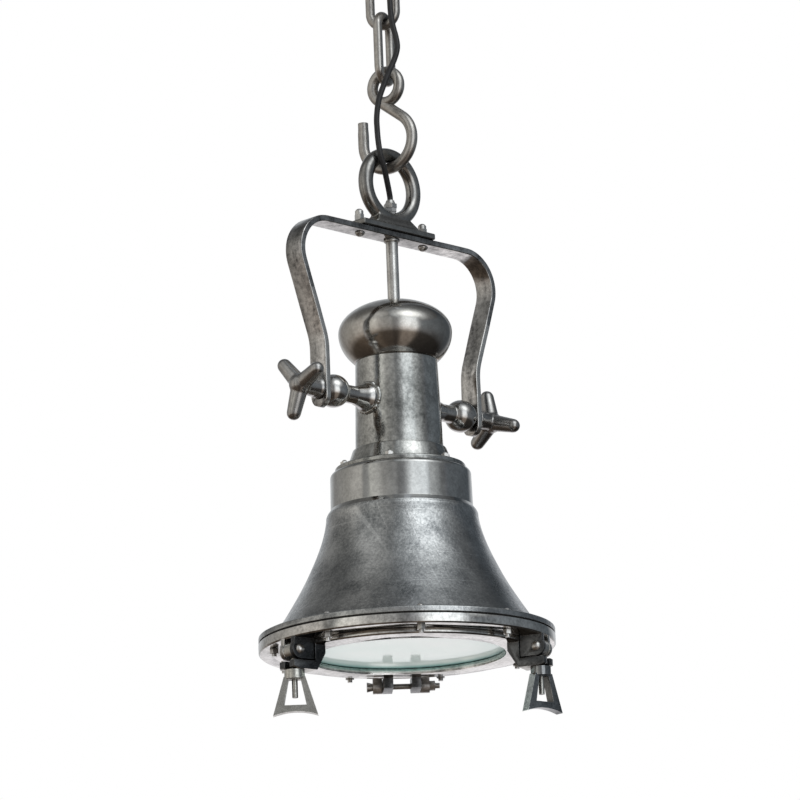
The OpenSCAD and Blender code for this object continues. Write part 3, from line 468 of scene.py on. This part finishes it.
def plain(name, colour, vary, rough, grain, bump=0.15):
    """Rubber, plastic, ceramic or paint with a fine uneven surface."""
    n = Surface(name)
    cloud = n.noise(grain * 0.15, detail=5)
    fine = n.noise(grain, detail=4, rough=0.6, shift=2.0)
    n.plug("Base Color", n.ramp(cloud, (0.35, dimmed(colour, 1 - vary)), (0.65, colour)))
    n.plug("Roughness", n.ramp(fine, (0.3, rough + 0.1), (0.7, rough - 0.05)))
    n.bump(fine, bump, distance=PLAIN_RELIEF)
    return n.material


# The point of the glass from which its tint deepens
GREEN_FROM = HINGE_WAY * -0.018 + Vector((0, 0, -0.828))


def pane():
    """Pale pane, greener toward its edge beside the hinge, with a slightly uneven face."""
    n = Surface("glass")
    n.set("IOR", 1.5)
    n.set("Transmission Weight", 0.1)
    pale = n.ramp(n.noise(9, detail=3), (0.3, (0.76, 0.87, 0.845)), (0.7, (0.86, 0.90, 0.89)))
    away = n.add("ShaderNodeVectorMath", operation="DISTANCE")
    away.inputs[1].default_value = GREEN_FROM
    n.link(n.place, away.inputs[0])
    far = n.math("MULTIPLY", away.outputs["Value"], 5)
    rim = n.ramp(far, (0.32, 0.0), (0.50, 0.3), (0.585, 1.0))
    n.plug("Base Color", n.mix(rim, pale, (0.26, 0.48, 0.455)))
    n.plug("Roughness", n.ramp(n.noise(160, detail=4), (0.3, 0.10), (0.7, 0.03)))
    return n.material


# Materials
cast = metal(
    "cast", dark=(0.18, 0.19, 0.195), light=(0.62, 0.63, 0.625), rough=(0.12, 0.30),
    grain=1.2, pits=0.42, dirt_and_shade=0.7, scratches=0.2)
drum_metal = metal(
    "drum_metal", dark=(0.38, 0.38, 0.37), light=(0.64, 0.64, 0.62), rough=(0.06, 0.14),
    grain=0.8, pits=0.06, dirt_and_shade=0.7)
cast_fine = metal(
    "cast_fine", dark=(0.22, 0.225, 0.215), light=(0.72, 0.72, 0.69), rough=(0.05, 0.16),
    grain=0.8, pits=0.22, dirt_and_shade=0.7)
polished = metal(
    "polished", dark=(0.34, 0.33, 0.32), light=(0.68, 0.67, 0.645), rough=(0.07, 0.20),
    grain=0.8, pits=0.08, dirt_and_shade=0.7, wear=0)
yoke_metal = metal(
    "yoke_metal", dark=(0.13, 0.128, 0.125), light=(0.90, 0.885, 0.86), rough=(0.06, 0.20),
    grain=0.7, pits=0.08, dirt_and_shade=0.7, scratches=0.12, wear=0.8, patches=0.6, streaks=(4, 4, 0.4))
cap_metal = metal(
    "cap_metal", dark=(0.42, 0.40, 0.37), light=(0.70, 0.68, 0.64), rough=(0.09, 0.19),
    grain=0.5, pits=0.04, dirt_and_shade=0.6, wear=0, patches=0.4)
# A darker copy of the wing nuts' metal, for the right nut only: painted shade.
shaded_nut_metal = metal(
    "shaded_nut_metal", dark=(0.13, 0.135, 0.14), light=(0.40, 0.41, 0.41), rough=(0.05, 0.12),
    grain=1.2, pits=0.06, dirt_and_shade=0.8, wear=0.8)
knob_metal = metal(
    "knob_metal", dark=(0.34, 0.335, 0.325), light=(0.68, 0.67, 0.65), rough=(0.14, 0.32),
    grain=0.6, pits=0.10, dirt_and_shade=0.6, wear=0, patches=0.4)
black_metal = metal(
    "black_metal", dark=(0.035, 0.038, 0.04), light=(0.15, 0.155, 0.16), rough=(0.16, 0.34),
    grain=1.2, pits=0.25, dirt_and_shade=0.8)
ring_metal = metal(
    "ring_metal", dark=(0.26, 0.255, 0.245), light=(0.60, 0.59, 0.56), rough=(0.10, 0.25),
    grain=0.8, pits=0.10, dirt_and_shade=0.8, wear=0, patches=0.35)
wire_metal = metal(
    "wire_metal", dark=(0.38, 0.36, 0.335), light=(0.62, 0.60, 0.565), rough=(0.26, 0.40),
    grain=0.8, pits=0.14, dirt_and_shade=0.75, wear=0)
bright = metal(
    "bright", dark=(0.50, 0.49, 0.47), light=(0.84, 0.83, 0.80), rough=(0.24, 0.42),
    grain=1.5, pits=0.08, dirt_and_shade=0.5, wear=0.4)
rim_metal = metal(
    "rim_metal", dark=(0.34, 0.335, 0.32), light=(0.92, 0.91, 0.88), rough=(0.05, 0.14),
    grain=0.8, pits=0.10, dirt_and_shade=0.3, scratches=0.12, wear=0.8)
hinge_metal = metal(
    "hinge_metal", dark=(0.62, 0.61, 0.60), light=(0.95, 0.94, 0.92), rough=(0.40, 0.55),
    grain=1.5, pits=0.05, dirt_and_shade=0.3, wear=0)
frame_metal = metal(
    "frame_metal", dark=(0.32, 0.315, 0.29), light=(0.72, 0.71, 0.66), rough=(0.16, 0.36),
    grain=1.0, pits=0.30, dirt_and_shade=0.7, wear=0.9)
cord_rubber = plain("cord_rubber", (0.012, 0.012, 0.013), vary=0.4, rough=0.42, grain=900)
gasket_rubber = plain("gasket_rubber", (0.015, 0.015, 0.015), vary=0.4, rough=0.6, grain=700)
gland_plastic = plain("gland_plastic", (0.16, 0.165, 0.17), vary=0.3, rough=0.45, grain=600)
holder_plastic = plain("holder_plastic", (0.02, 0.02, 0.02), vary=0.3, rough=0.4, grain=500)
ceramic = plain("ceramic", (0.75, 0.73, 0.68), vary=0.1, rough=0.25, grain=300, bump=0.05)
frosted = plain("frosted", (0.86, 0.86, 0.83), vary=0.06, rough=0.35, grain=300, bump=0.03)
clear = pane()

# Cord: four runs, each bending across one joint of the chain
CORD_D = 6.2
CORD_SIDES = 20
SPAN = 4


def from_level(z, *points):
    return [Vector((x, y, z + dz)) for x, y, dz in points]


route = from_level(GRIP_Z, (-6, -34, 2))
route += from_level(
    CEILING_Z, (-6, -34, 32), (-6.5, -33, 14), (-8, -30, -4), (-9.5, -26, -20), (-11, -22.5, -34))
route += from_level(
    UPPER_LOW_Z, (-11, -22.3, 18), (-11, -23, 4), (-9.9, -24.7, -10), (-8.8, -27.2, -22),
    (-8.5, -28.3, -34))
route += from_level(
    LOWER_LOW_Z, (-11, -25.8, 17), (-15.6, -21.2, 3), (-20.2, -16.6, -13), (-24, -12.5, -29),
    (-25.8, -10.5, -47))
route += from_level(
    RING_Z, (-26.2, -10.8, 58), (-26, -11.6, 44), (-24.5, -12.5, 30), (-18, -10.5, 18), (-10.5, -6.2, 7),
    (-4, -2.4, -3))
route += from_level(GLAND_TOP_Z, (0, 0, 4), (0, 0, -2), (0, 0, -8))
cord_line = smooth_line(route, SPAN)
CUTS = (0, 5, 10, 15, len(route) - 1)
RUNS = (
    ("cord_top", "ceiling", "link_upper"),
    ("cord_upper", "link_upper", "link_lower"),
    ("cord_middle", "link_lower", "hook"),
    ("cord_lower", "hook", "lamp"))
for (node, above, below), first, last in zip(RUNS, CUTS, CUTS[1:]):
    path = cord_line[first * SPAN:last * SPAN + 1]
    tube = sweep(node + "_tube", path, circle(CORD_D / 2, CORD_SIDES), up=ALONG_X)
    tube.data.materials.append(cord_rubber)
    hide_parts(node)
    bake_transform(tube)

# Chain links: bent wire
LINK_WIRE = 10.0
LINK_BOW = 15.0
LINK_PITCH = 74.0
LINK_SIDES = 24
LINK_TURN = {"chain_link_upper": 110, "chain_link_lower": 20}
LINK_TOP = {"chain_link_upper": UPPER_TOP_Z, "chain_link_lower": LOWER_TOP_Z}
link_low = LINK_BOW - LINK_PITCH
link_line = arc(0, -LINK_BOW, LINK_BOW, 0, 180, steps=24)
link_line += between((-LINK_BOW, -LINK_BOW), (-LINK_BOW, link_low), steps=6)
link_line += arc(0, link_low, LINK_BOW, 180, 360, steps=24)
link_line += between((LINK_BOW, link_low), (LINK_BOW, -LINK_BOW), steps=6)
for node, turn in LINK_TURN.items():
    link_path = upright(link_line, turn, LINK_TOP[node])
    wire = circle(LINK_WIRE / 2, LINK_SIDES)
    link = sweep(node + "_wire", link_path, wire, closed=True, up=across_plane(turn))
    stand_for(link, node, wire_metal)

# Hook: one bent rod, round the eye, down the cross strand, round the bowl to the tip
EYE_BOW = 17.0
BOWL_BOW = 31.0
HOOK_REACH = 61.0
HOOK_WIRE = 12.0
HOOK_SIDES = 28
HOOK_TIP = 26.0
HOOK_TURN = -78
TIP_FROM = 0.985
TIP_EASE = 0.93
strand_lean = math.degrees(math.asin((EYE_BOW + BOWL_BOW) / HOOK_REACH))
hook_line = arc(0, 0, EYE_BOW, strand_lean - 178, strand_lean + 180, steps=60)
bowl = arc(0, -HOOK_REACH, BOWL_BOW, strand_lean, -180, steps=60)
hook_end = (-BOWL_BOW, HOOK_TIP - HOOK_REACH)
hook_line += between(hook_line[-1], bowl[0], steps=8) + bowl
hook_line += between(bowl[-1], hook_end, steps=4) + [hook_end]


def hook_section(t):
    """A round section, a little thinner at the tip."""
    return circle(HOOK_WIRE / 2 * (TIP_EASE if t > TIP_FROM else 1.0), HOOK_SIDES)


hook_path = upright(hook_line, HOOK_TURN, EYE_Z)
hook = sweep("eye_hook_rod", hook_path, hook_section, up=across_plane(HOOK_TURN))
stand_for(hook, "eye_hook", wire_metal)

# Yoke: a flat bar with eased edges, bent at the shoulders and above the trunnions
BAR_W = 24.0
BAR_T = 6.5
BAR_EDGE = 1.0
BAR_REACH = 142.0
SHOULDER = 38.0
LEG_X = 112.0
LEG_LEAN = 19.0
LEG_BEND = 60.0
TAIL_Z = PIVOT_Z - 20
ROUND_FROM = TAIL_Z + BAR_W / 2
FORGED = 0.5
FORGED_GRAIN = 0.025
END_SQUARE = 0.02
EDGE_SHARE = 0.4
SIDE_FACING = 0.6
mid_z = YOKE_LOW_Z + BAR_T / 2
turn_x = BAR_REACH - SHOULDER
turn_z = mid_z - SHOULDER
lean = math.radians(LEG_LEAN)
run_x = turn_x + SHOULDER * math.cos(lean) - LEG_X - LEG_BEND * (1 - math.cos(lean))
run_top_z = turn_z - SHOULDER * math.sin(lean)
bend_z = run_top_z - run_x / math.tan(lean) - LEG_BEND * math.sin(lean)
shoulder_line = arc(turn_x, turn_z, SHOULDER, 90, -LEG_LEAN, steps=22)
bend_line = arc(LEG_X + LEG_BEND, bend_z, LEG_BEND, 180 - LEG_LEAN, 180, steps=10)
tail = (LEG_X, TAIL_Z)
half_bar = [(0, mid_z)] + between((0, mid_z), (turn_x, mid_z), steps=14) + shoulder_line
half_bar += between(shoulder_line[-1], bend_line[0], steps=10) + bend_line
half_bar += between(bend_line[-1], tail, steps=24) + [tail]
bar_path = upright([(-x, z) for x, z in reversed(half_bar[1:])] + half_bar, 0, 0)


def bar_section(t):
    """Rounded rectangle of slightly uneven width, which follows the round end of a leg."""
    p = bar_path[round(t * (len(bar_path) - 1))]
    width = BAR_W / 2 + FORGED * noise.noise(p * FORGED_GRAIN)
    if p.z < ROUND_FROM:
        width = math.sqrt(max(END_SQUARE, width * width - (ROUND_FROM - p.z) ** 2))
    ease = min(BAR_EDGE, width * EDGE_SHARE)
    out = []
    for sx, sy, a0 in ((1, 1, 0), (-1, 1, 90), (-1, -1, 180), (1, -1, 270)):
        for k in range(4):
            a = math.radians(a0 + 30 * k)
            u = sx * (width - ease) + ease * math.cos(a)
            out.append((u, sy * (BAR_T / 2 - BAR_EDGE) + BAR_EDGE * math.sin(a)))
    return out


bar = sweep("yoke_bar", bar_path, bar_section)
stand_for(bar, "yoke", yoke_metal)
# Painted highlight: the narrow sides of both legs take the lighter bright metal.
paint(bar, bright, lambda c, n: abs(n.y) > SIDE_FACING and c.z < turn_z - SHOULDER)

# Cap, neck and shade: turned castings
CAP_R = 60.5
CAP_RISE = 35
CAP_BELLY = 46
CAP_IN_R = 57.5
CAP_IN_RISE = 32
CAP_IN_LOW = -20
CAP_MOUTH_R = 39.5
CAP_MOUTH_H = 12
STEM_HOLE_R = 6.55
NECK_TOP_R = 43.5
NECK_LOW_R = 46.5
BORE_R = 38.5
FOOT_R = 69
SKIRT_LOW_R = 56.5
SKIRT_R = 50.5
SKIRT_LIP_R = 49.5
SPIGOT_R = 39.4
SPIGOT_IN_R = 35.5
SPIGOT_H = 10
FOOT_TOP_Z = SHADE_TOP_Z + 5
SKIRT_TOP_Z = FOOT_TOP_Z + 19
SEAT = 0.05


def ellipse(r, rise, belly, a0, a1, steps):
    """Part of an oval about the cap's middle, with its own height above and below it."""
    out = []
    for k in range(steps + 1):
        a = math.radians(a0 + (a1 - a0) * k / steps)
        out.append((r * math.cos(a), CAP_Z + (rise if a > 0 else belly) * math.sin(a)))
    return out


low_a = -math.degrees(math.acos(NECK_TOP_R / CAP_R))
top_a = math.degrees(math.acos(STEM_HOLE_R / CAP_R))
in_a = math.degrees(math.acos(STEM_HOLE_R / CAP_IN_R))
cap_outline = ellipse(CAP_R, CAP_RISE, CAP_BELLY, low_a, top_a, steps=48)
cap_outline += reversed(ellipse(CAP_IN_R, CAP_IN_RISE, CAP_IN_RISE, CAP_IN_LOW, in_a, steps=24))
cap_outline += [(CAP_MOUTH_R, NECK_TOP_Z + CAP_MOUTH_H), (CAP_MOUTH_R, NECK_TOP_Z)]
stand_for(lathe("dome_cap_form", cap_outline, wobble=0.25, seed=4.0), "dome_cap", cap_metal)


def neck_r(z):
    return NECK_LOW_R - (NECK_LOW_R - NECK_TOP_R) * (z - SKIRT_TOP_Z) / (NECK_TOP_Z - SKIRT_TOP_Z)


neck_outline = fillet([
    (BORE_R, SHADE_TOP_Z), (FOOT_R, SHADE_TOP_Z, 0.6), (FOOT_R, FOOT_TOP_Z, 1.6),
    (SKIRT_LOW_R, FOOT_TOP_Z, 1.2), (SKIRT_R, SKIRT_TOP_Z - 3, 4), (SKIRT_LIP_R, SKIRT_TOP_Z - 0.4, 1.2),
    (NECK_LOW_R, SKIRT_TOP_Z, 0.8), (NECK_TOP_R, NECK_TOP_Z - SEAT, 0.5), (SPIGOT_R, NECK_TOP_Z - SEAT),
    (SPIGOT_R, NECK_TOP_Z + SPIGOT_H), (SPIGOT_IN_R, NECK_TOP_Z + SPIGOT_H)])
stand_for(lathe("neck_form", neck_outline, wobble=0.3, seed=9.0), "neck", cast_fine)

DRUM_TOP_R = 74
DRUM_LOW_R = 75
DRUM_IN_R = 72
BELL_TOP_R = 80
BELL_TOP_Z = DRUM_LOW_Z - 2
BELL_FLARE = 59
BELL_CURVE = 1.5
BELL_H = 125
BELL_STEPS = 32
FLANGE_R = 155
MOUTH_R = 122
WALL = 3
DRUM_EDGE = 1.5


def bell(inset):
    """The flared wall from its top down, moved inward by an inset."""
    out = []
    for k in range(BELL_STEPS + 1):
        s = k / BELL_STEPS
        r = BELL_TOP_R + BELL_FLARE * s ** BELL_CURVE - inset
        out.append(Vector((r, BELL_TOP_Z - BELL_H * s)))
    return out


shade_outline = fillet([
    (BORE_R, SHADE_TOP_Z - SEAT), (DRUM_TOP_R, SHADE_TOP_Z - SEAT, 5.5), (DRUM_LOW_R, DRUM_LOW_Z + 6, 0.8),
    (78.5, DRUM_LOW_Z + 1.2, 1.4), (BELL_TOP_R, BELL_TOP_Z)])[:-1]
shade_outline += bell(0)[:-1]
shade_outline += fillet([
    (137, FLANGE_TOP_Z + 4), (139, FLANGE_TOP_Z, 1.2), (FLANGE_R, FLANGE_TOP_Z, 1.6),
    (FLANGE_R, FLANGE_LOW_Z, 0.5), (MOUTH_R, FLANGE_LOW_Z)], closed=False)[1:]
shade_outline += [Vector((MOUTH_R, FLANGE_TOP_Z))]
shade_outline += [p for p in reversed(bell(WALL)) if p.x < MOUTH_R]
shade_outline += [Vector((DRUM_IN_R, BELL_TOP_Z)), Vector((DRUM_IN_R, SHADE_TOP_Z - WALL))]
shade_outline += [Vector((BORE_R, SHADE_TOP_Z - WALL))]
shade = stand_for(lathe("shade_form", shade_outline, steps=240, wobble=0.35), "shade", cast)
paint(shade, drum_metal, lambda c, n: c.z > DRUM_LOW_Z + DRUM_EDGE)

# Smooth castings: ring with its foot, trunnions and hand knobs
for node, voxel, passes, material in (
        ("suspension_ring", 0.8, 14, ring_metal),
        ("trunnion_left", 0.7, 6, polished),
        ("trunnion_right", 0.7, 6, polished),
        ("knob_left", 0.8, 14, knob_metal),
        ("knob_right", 0.8, 14, knob_metal)):
    melted(node, voxel, passes, material)

# Weld beads where the trunnions meet the neck
WELD_R = 15.4
WELD_STEPS = 120
BEAD_R = 2.5
BEAD_SWELL = 1.3
BEAD_LUMPS = 0.8
BEAD_LEAST = 1.0
BEAD_SIDES = 10
SWELL_GRAIN = 3
LUMP_GRAIN = 11


def bead(t):
    """A bead's section: thick and thin by turns, with small lumps."""
    way = Vector((math.cos(2 * math.pi * t), math.sin(2 * math.pi * t), 0))
    swell = BEAD_SWELL * noise.noise(way * SWELL_GRAIN)
    lumps = BEAD_LUMPS * noise.noise(way * LUMP_GRAIN)
    return circle(max(BEAD_LEAST, BEAD_R + swell + lumps), BEAD_SIDES)


for name, sign in (("weld_left", -1), ("weld_right", 1)):
    saddle = []
    for y, dz in circle(WELD_R, WELD_STEPS):
        z = PIVOT_Z + dz
        saddle.append(Vector((sign * math.sqrt(neck_r(z) ** 2 - y * y), y, z)))
    weld = sweep(name, saddle, bead, closed=True, up=ALONG_X)
    weld.data.materials.append(cast_fine)
    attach(weld, "lamp")

# Pieces that keep their CAD shape, with broken edges
shaped = {}
for node, width, material in (
        ("rim_ring", 2.2, rim_metal), ("bezel", 1.4, rim_metal),
        # The right wing nut takes a darker metal than the left: painted shade.
        ("wing_nut_left", 1.1, frame_metal), ("wing_nut_right", 1.1, shaded_nut_metal),
        ("swing_bolt_left", 0.4, frame_metal), ("swing_bolt_right", 0.4, frame_metal),
        ("ceiling_plate", 0.8, wire_metal), ("ceiling_hook", 0.3, wire_metal),
        ("base_nuts", 0.3, bright), ("gland_nut", 0.3, bright),
        ("cord_gland", 0.3, gland_plastic), ("ceiling_cord_grip", 0.4, gland_plastic),
        ("rim_nuts", 0.3, bright), ("hinge_nut", 0.3, bright),
        ("dog_pin_nuts", 0.3, bright), ("stem_collar", 0.4, bright)):
    shaped[node] = eased(node, width, material)

# Ears, tongues and hinge have their own finish, below the faces that carry them. One cheek of each dog's
# ears is painted black as painted shade.
BELOW_FACE = 0.4
BEZEL_R = 130.2
EAR_REACH = 20
EAR_FROM = 4
DOWN_FACING = -0.8


def beside(c, turn):
    """How far a point is from the radial plane at a turn, to the left seen from the lamp axis."""
    return c.y * math.cos(turn) - c.x * math.sin(turn)


def is_shaded_cheek(c, n):
    """One cheek of each dog's pair of ears, the one away from the hinge, which gets black as painted shade.
    """
    if c.z > RIM_Z - BELOW_FACE or c.dot(HINGE_WAY) > 0:
        return False
    if abs(beside(c, DOG_LEFT)) < EAR_REACH:
        return beside(c, DOG_LEFT) > EAR_FROM
    return beside(c, DOG_RIGHT) < -EAR_FROM


def is_hinge_ear(c, n):
    return c.z < RIM_Z - BELOW_FACE and c.dot(HINGE_WAY) > 0


def is_tongue(c, n):
    return c.z < BEZEL_Z - BELOW_FACE or c.xy.length > BEZEL_R


def is_tongue_foot(c, n):
    return is_tongue(c, n) and n.z < DOWN_FACING and c.dot(HINGE_WAY) < 0


# Painted shade: one cheek of each dog's ears is made black.
paint(shaped["rim_ring"], black_metal, is_shaded_cheek)
paint(shaped["rim_ring"], hinge_metal, is_hinge_ear)
paint(shaped["bezel"], black_metal, is_tongue)
paint(shaped["bezel"], frame_metal, is_tongue_foot)

# Pieces that are shown as they are in the CAD
for material, names in (
        (bright, ("base_bolts", "stem_tube", "neck_screws", "rim_screws", "retainer_screws", "hinge_pin",
                  "dog_pin_left", "dog_pin_right", "glass_retainer", "bulb_cap")),
        (cord_rubber, ("inner_cord",)),
        (gasket_rubber, ("rim_gasket", "glass_pad")),
        (clear, ("glass",)),
        (frosted, ("bulb_glass",)),
        (holder_plastic, ("lampholder_cap", "lampholder_shell")),
        (ceramic, ("lampholder_core",))):
    for node in names:
        nodes[node].data.materials.clear()
        nodes[node].data.materials.append(material)

# Stage: a pale floor under the lamp
FLOOR_SIZE = 40
FLOOR_Z = -2.4
bpy.ops.mesh.primitive_plane_add(size=FLOOR_SIZE, location=(0, 0, FLOOR_Z))
floor = bpy.context.object
floor.name = "floor"
floor_paint = plain("floor_paint", (0.82, 0.81, 0.79), vary=0.04, rough=0.6, grain=40, bump=0.05)
floor.data.materials.append(floor_paint)
floor.visible_glossy = False

# Surroundings: white to the camera and through glass, a studio of soft panels to reflections
VIEW_TURN = math.radians(225)
WHITE = (1.0, 1.0, 1.0)
BLACK = (0, 0, 0)
DAYLIGHT = (0.95, 0.96, 0.97)

# Panels around the lamp: degrees from the camera's side, to the right as it sees them, and colour
PANELS = (
    (-180, (0.62, 0.63, 0.64)), (-160, (0.60, 0.61, 0.62)), (-140, (0.32, 0.31, 0.30)),
    (-100, (0.42, 0.40, 0.37)), (-84, (0.60, 0.57, 0.53)), (-69, (0.62, 0.59, 0.55)),
    (-64, (0.30, 0.295, 0.285)), (-58, (0.28, 0.28, 0.27)), (-52, (0.76, 0.74, 0.69)),
    (-40, (0.72, 0.70, 0.66)), (-30, (0.44, 0.425, 0.405)), (-14, (0.38, 0.375, 0.365)),
    (-9, (0.40, 0.395, 0.39)), (-3, (0.25, 0.25, 0.25)), (5, (0.29, 0.29, 0.30)),
    (11, (0.60, 0.61, 0.62)), (19, (1.36, 1.40, 1.43)), (43, (1.26, 1.31, 1.35)),
    (50, (0.42, 0.44, 0.46)), (56, (0.22, 0.24, 0.26)), (142, (0.10, 0.115, 0.13)),
    (160, (0.60, 0.61, 0.63)), (180, (0.62, 0.63, 0.64)))

# Tint from straight below to straight above, by height from 0 to 1
HEIGHTS = (
    (0.0, (0.16, 0.13, 0.11)), (0.28, (0.22, 0.18, 0.15)), (0.36, (0.72, 0.67, 0.64)),
    (0.42, (0.9, 0.88, 0.87)), (0.5, WHITE), (0.72, (0.92, 0.94, 0.96)),
    (0.86, (0.42, 0.44, 0.46)), (1.0, (0.34, 0.35, 0.37)))

# Round lights: degrees to the right, degrees up, and stops of degrees from the middle and colour
GLOWS = (
    (38, 45, ((70, BLACK), (36, (0.22, 0.23, 0.24)), (22, (0.7, 0.73, 0.75)), (6, (2.1, 2.17, 2.22)))),
    (-51, 42, ((36, BLACK), (8, (0.55, 0.55, 0.54)))),
    (180, -16, ((30, BLACK), (12, (0.85, 0.83, 0.85)))))

world = bpy.data.worlds.new("studio")
bpy.context.scene.world = world
world.use_nodes = True
world.node_tree.nodes.clear()
g = Graph(world.node_tree)
ways = g.add("ShaderNodeSeparateXYZ")
g.link(g.add("ShaderNodeTexCoord").outputs["Generated"], ways.inputs["Vector"])
way_x, way_y, way_z = (ways.outputs[k] for k in "XYZ")


def weighted(*parts):
    """The sum of some outputs, each times a number."""
    terms = [g.math("MULTIPLY", out, share) for out, share in parts]
    total = terms[0]
    for term in terms[1:]:
        total = g.math("ADD", total, term)
    return total


front = weighted((way_x, math.cos(VIEW_TURN)), (way_y, math.sin(VIEW_TURN)))
right = weighted((way_y, math.cos(VIEW_TURN)), (way_x, -math.sin(VIEW_TURN)))
azimuth = g.math("ADD", g.math("DIVIDE", g.math("ARCTAN2", right, front), 2 * math.pi), 0.5)
height = g.math("ADD", g.math("MULTIPLY", way_z, 0.5), 0.5)
panels = g.ramp(azimuth, *[((turn + 180) / 360, colour) for turn, colour in PANELS])
studio = g.mix(1.0, panels, g.ramp(height, *HEIGHTS), "MULTIPLY")
for turn, rise, stops in GLOWS:
    level = math.cos(math.radians(rise))
    toward = weighted(
        (front, level * math.cos(math.radians(turn))), (right, level * math.sin(math.radians(turn))),
        (way_z, math.sin(math.radians(rise))))
    light = g.ramp(toward, *[(math.cos(math.radians(angle)), colour) for angle, colour in stops])
    studio = g.mix(1.0, studio, light, "LIGHTEN")
rays = g.add("ShaderNodeLightPath")
seen = g.mix(rays.outputs["Is Glossy Ray"], DAYLIGHT, studio)
seen = g.mix(rays.outputs["Is Camera Ray"], seen, WHITE)
seen = g.mix(rays.outputs["Is Transmission Ray"], seen, WHITE)
background = g.add("ShaderNodeBackground")
g.link(seen, background.inputs["Color"])
g.link(background.outputs["Background"], g.add("ShaderNodeOutputWorld").inputs["Surface"])


# Lamps: wide and soft, aimed at the middle of the object
AIM = Vector((0, 0, -0.6))


def soft_lamp(name, place, size, power, colour):
    light = bpy.data.lights.new(name, "AREA")
    light.shape = "RECTANGLE"
    light.size = size[0]
    light.size_y = size[1]
    light.energy = power
    light.color = colour
    obj = bpy.data.objects.new(name, light)
    obj.location = place
    obj.rotation_euler = (AIM - Vector(place)).to_track_quat("-Z", "Y").to_euler()
    obj.visible_glossy = False
    bpy.context.scene.collection.objects.link(obj)


soft_lamp("key", (0.6, -2.6, 0.2), size=(1.4, 1.8), power=60, colour=(1.0, 0.99, 0.97))
soft_lamp("fill", (-2.6, 0.4, -0.2), size=(1.6, 1.8), power=30, colour=(1.0, 0.96, 0.92))

# Camera: below the lamp, looking up, with the frame turned a little
PITCH = math.radians(13.93)
ROLL = math.radians(2.2)
LENS = 192.9
SENSOR = 36
FAR = 30
DISTANCE = 4.4
CAMERA_Z = -1.648
ASIDE = 0.0024
inward = Vector((math.cos(math.radians(45)), math.sin(math.radians(45)), 0))
ahead = inward * math.cos(PITCH) + Vector((0, 0, math.sin(PITCH)))
sideways = Vector((inward.y, -inward.x, 0))
upward = sideways.cross(ahead)
frame_x = sideways * math.cos(ROLL) - upward * math.sin(ROLL)
frame_y = sideways * math.sin(ROLL) + upward * math.cos(ROLL)
camera = bpy.data.objects.new("camera", bpy.data.cameras.new("camera"))
camera.data.lens = LENS
camera.data.sensor_width = SENSOR
camera.data.clip_end = FAR
spot = -inward * DISTANCE + Vector((0, 0, CAMERA_Z)) + sideways * ASIDE
turned = Matrix((frame_x, frame_y, -ahead)).transposed().to_4x4()
camera.matrix_world = Matrix.Translation(spot) @ turned
bpy.context.scene.collection.objects.link(camera)
bpy.context.scene.camera = camera
bpy.context.scene.view_settings.view_transform = "Standard"
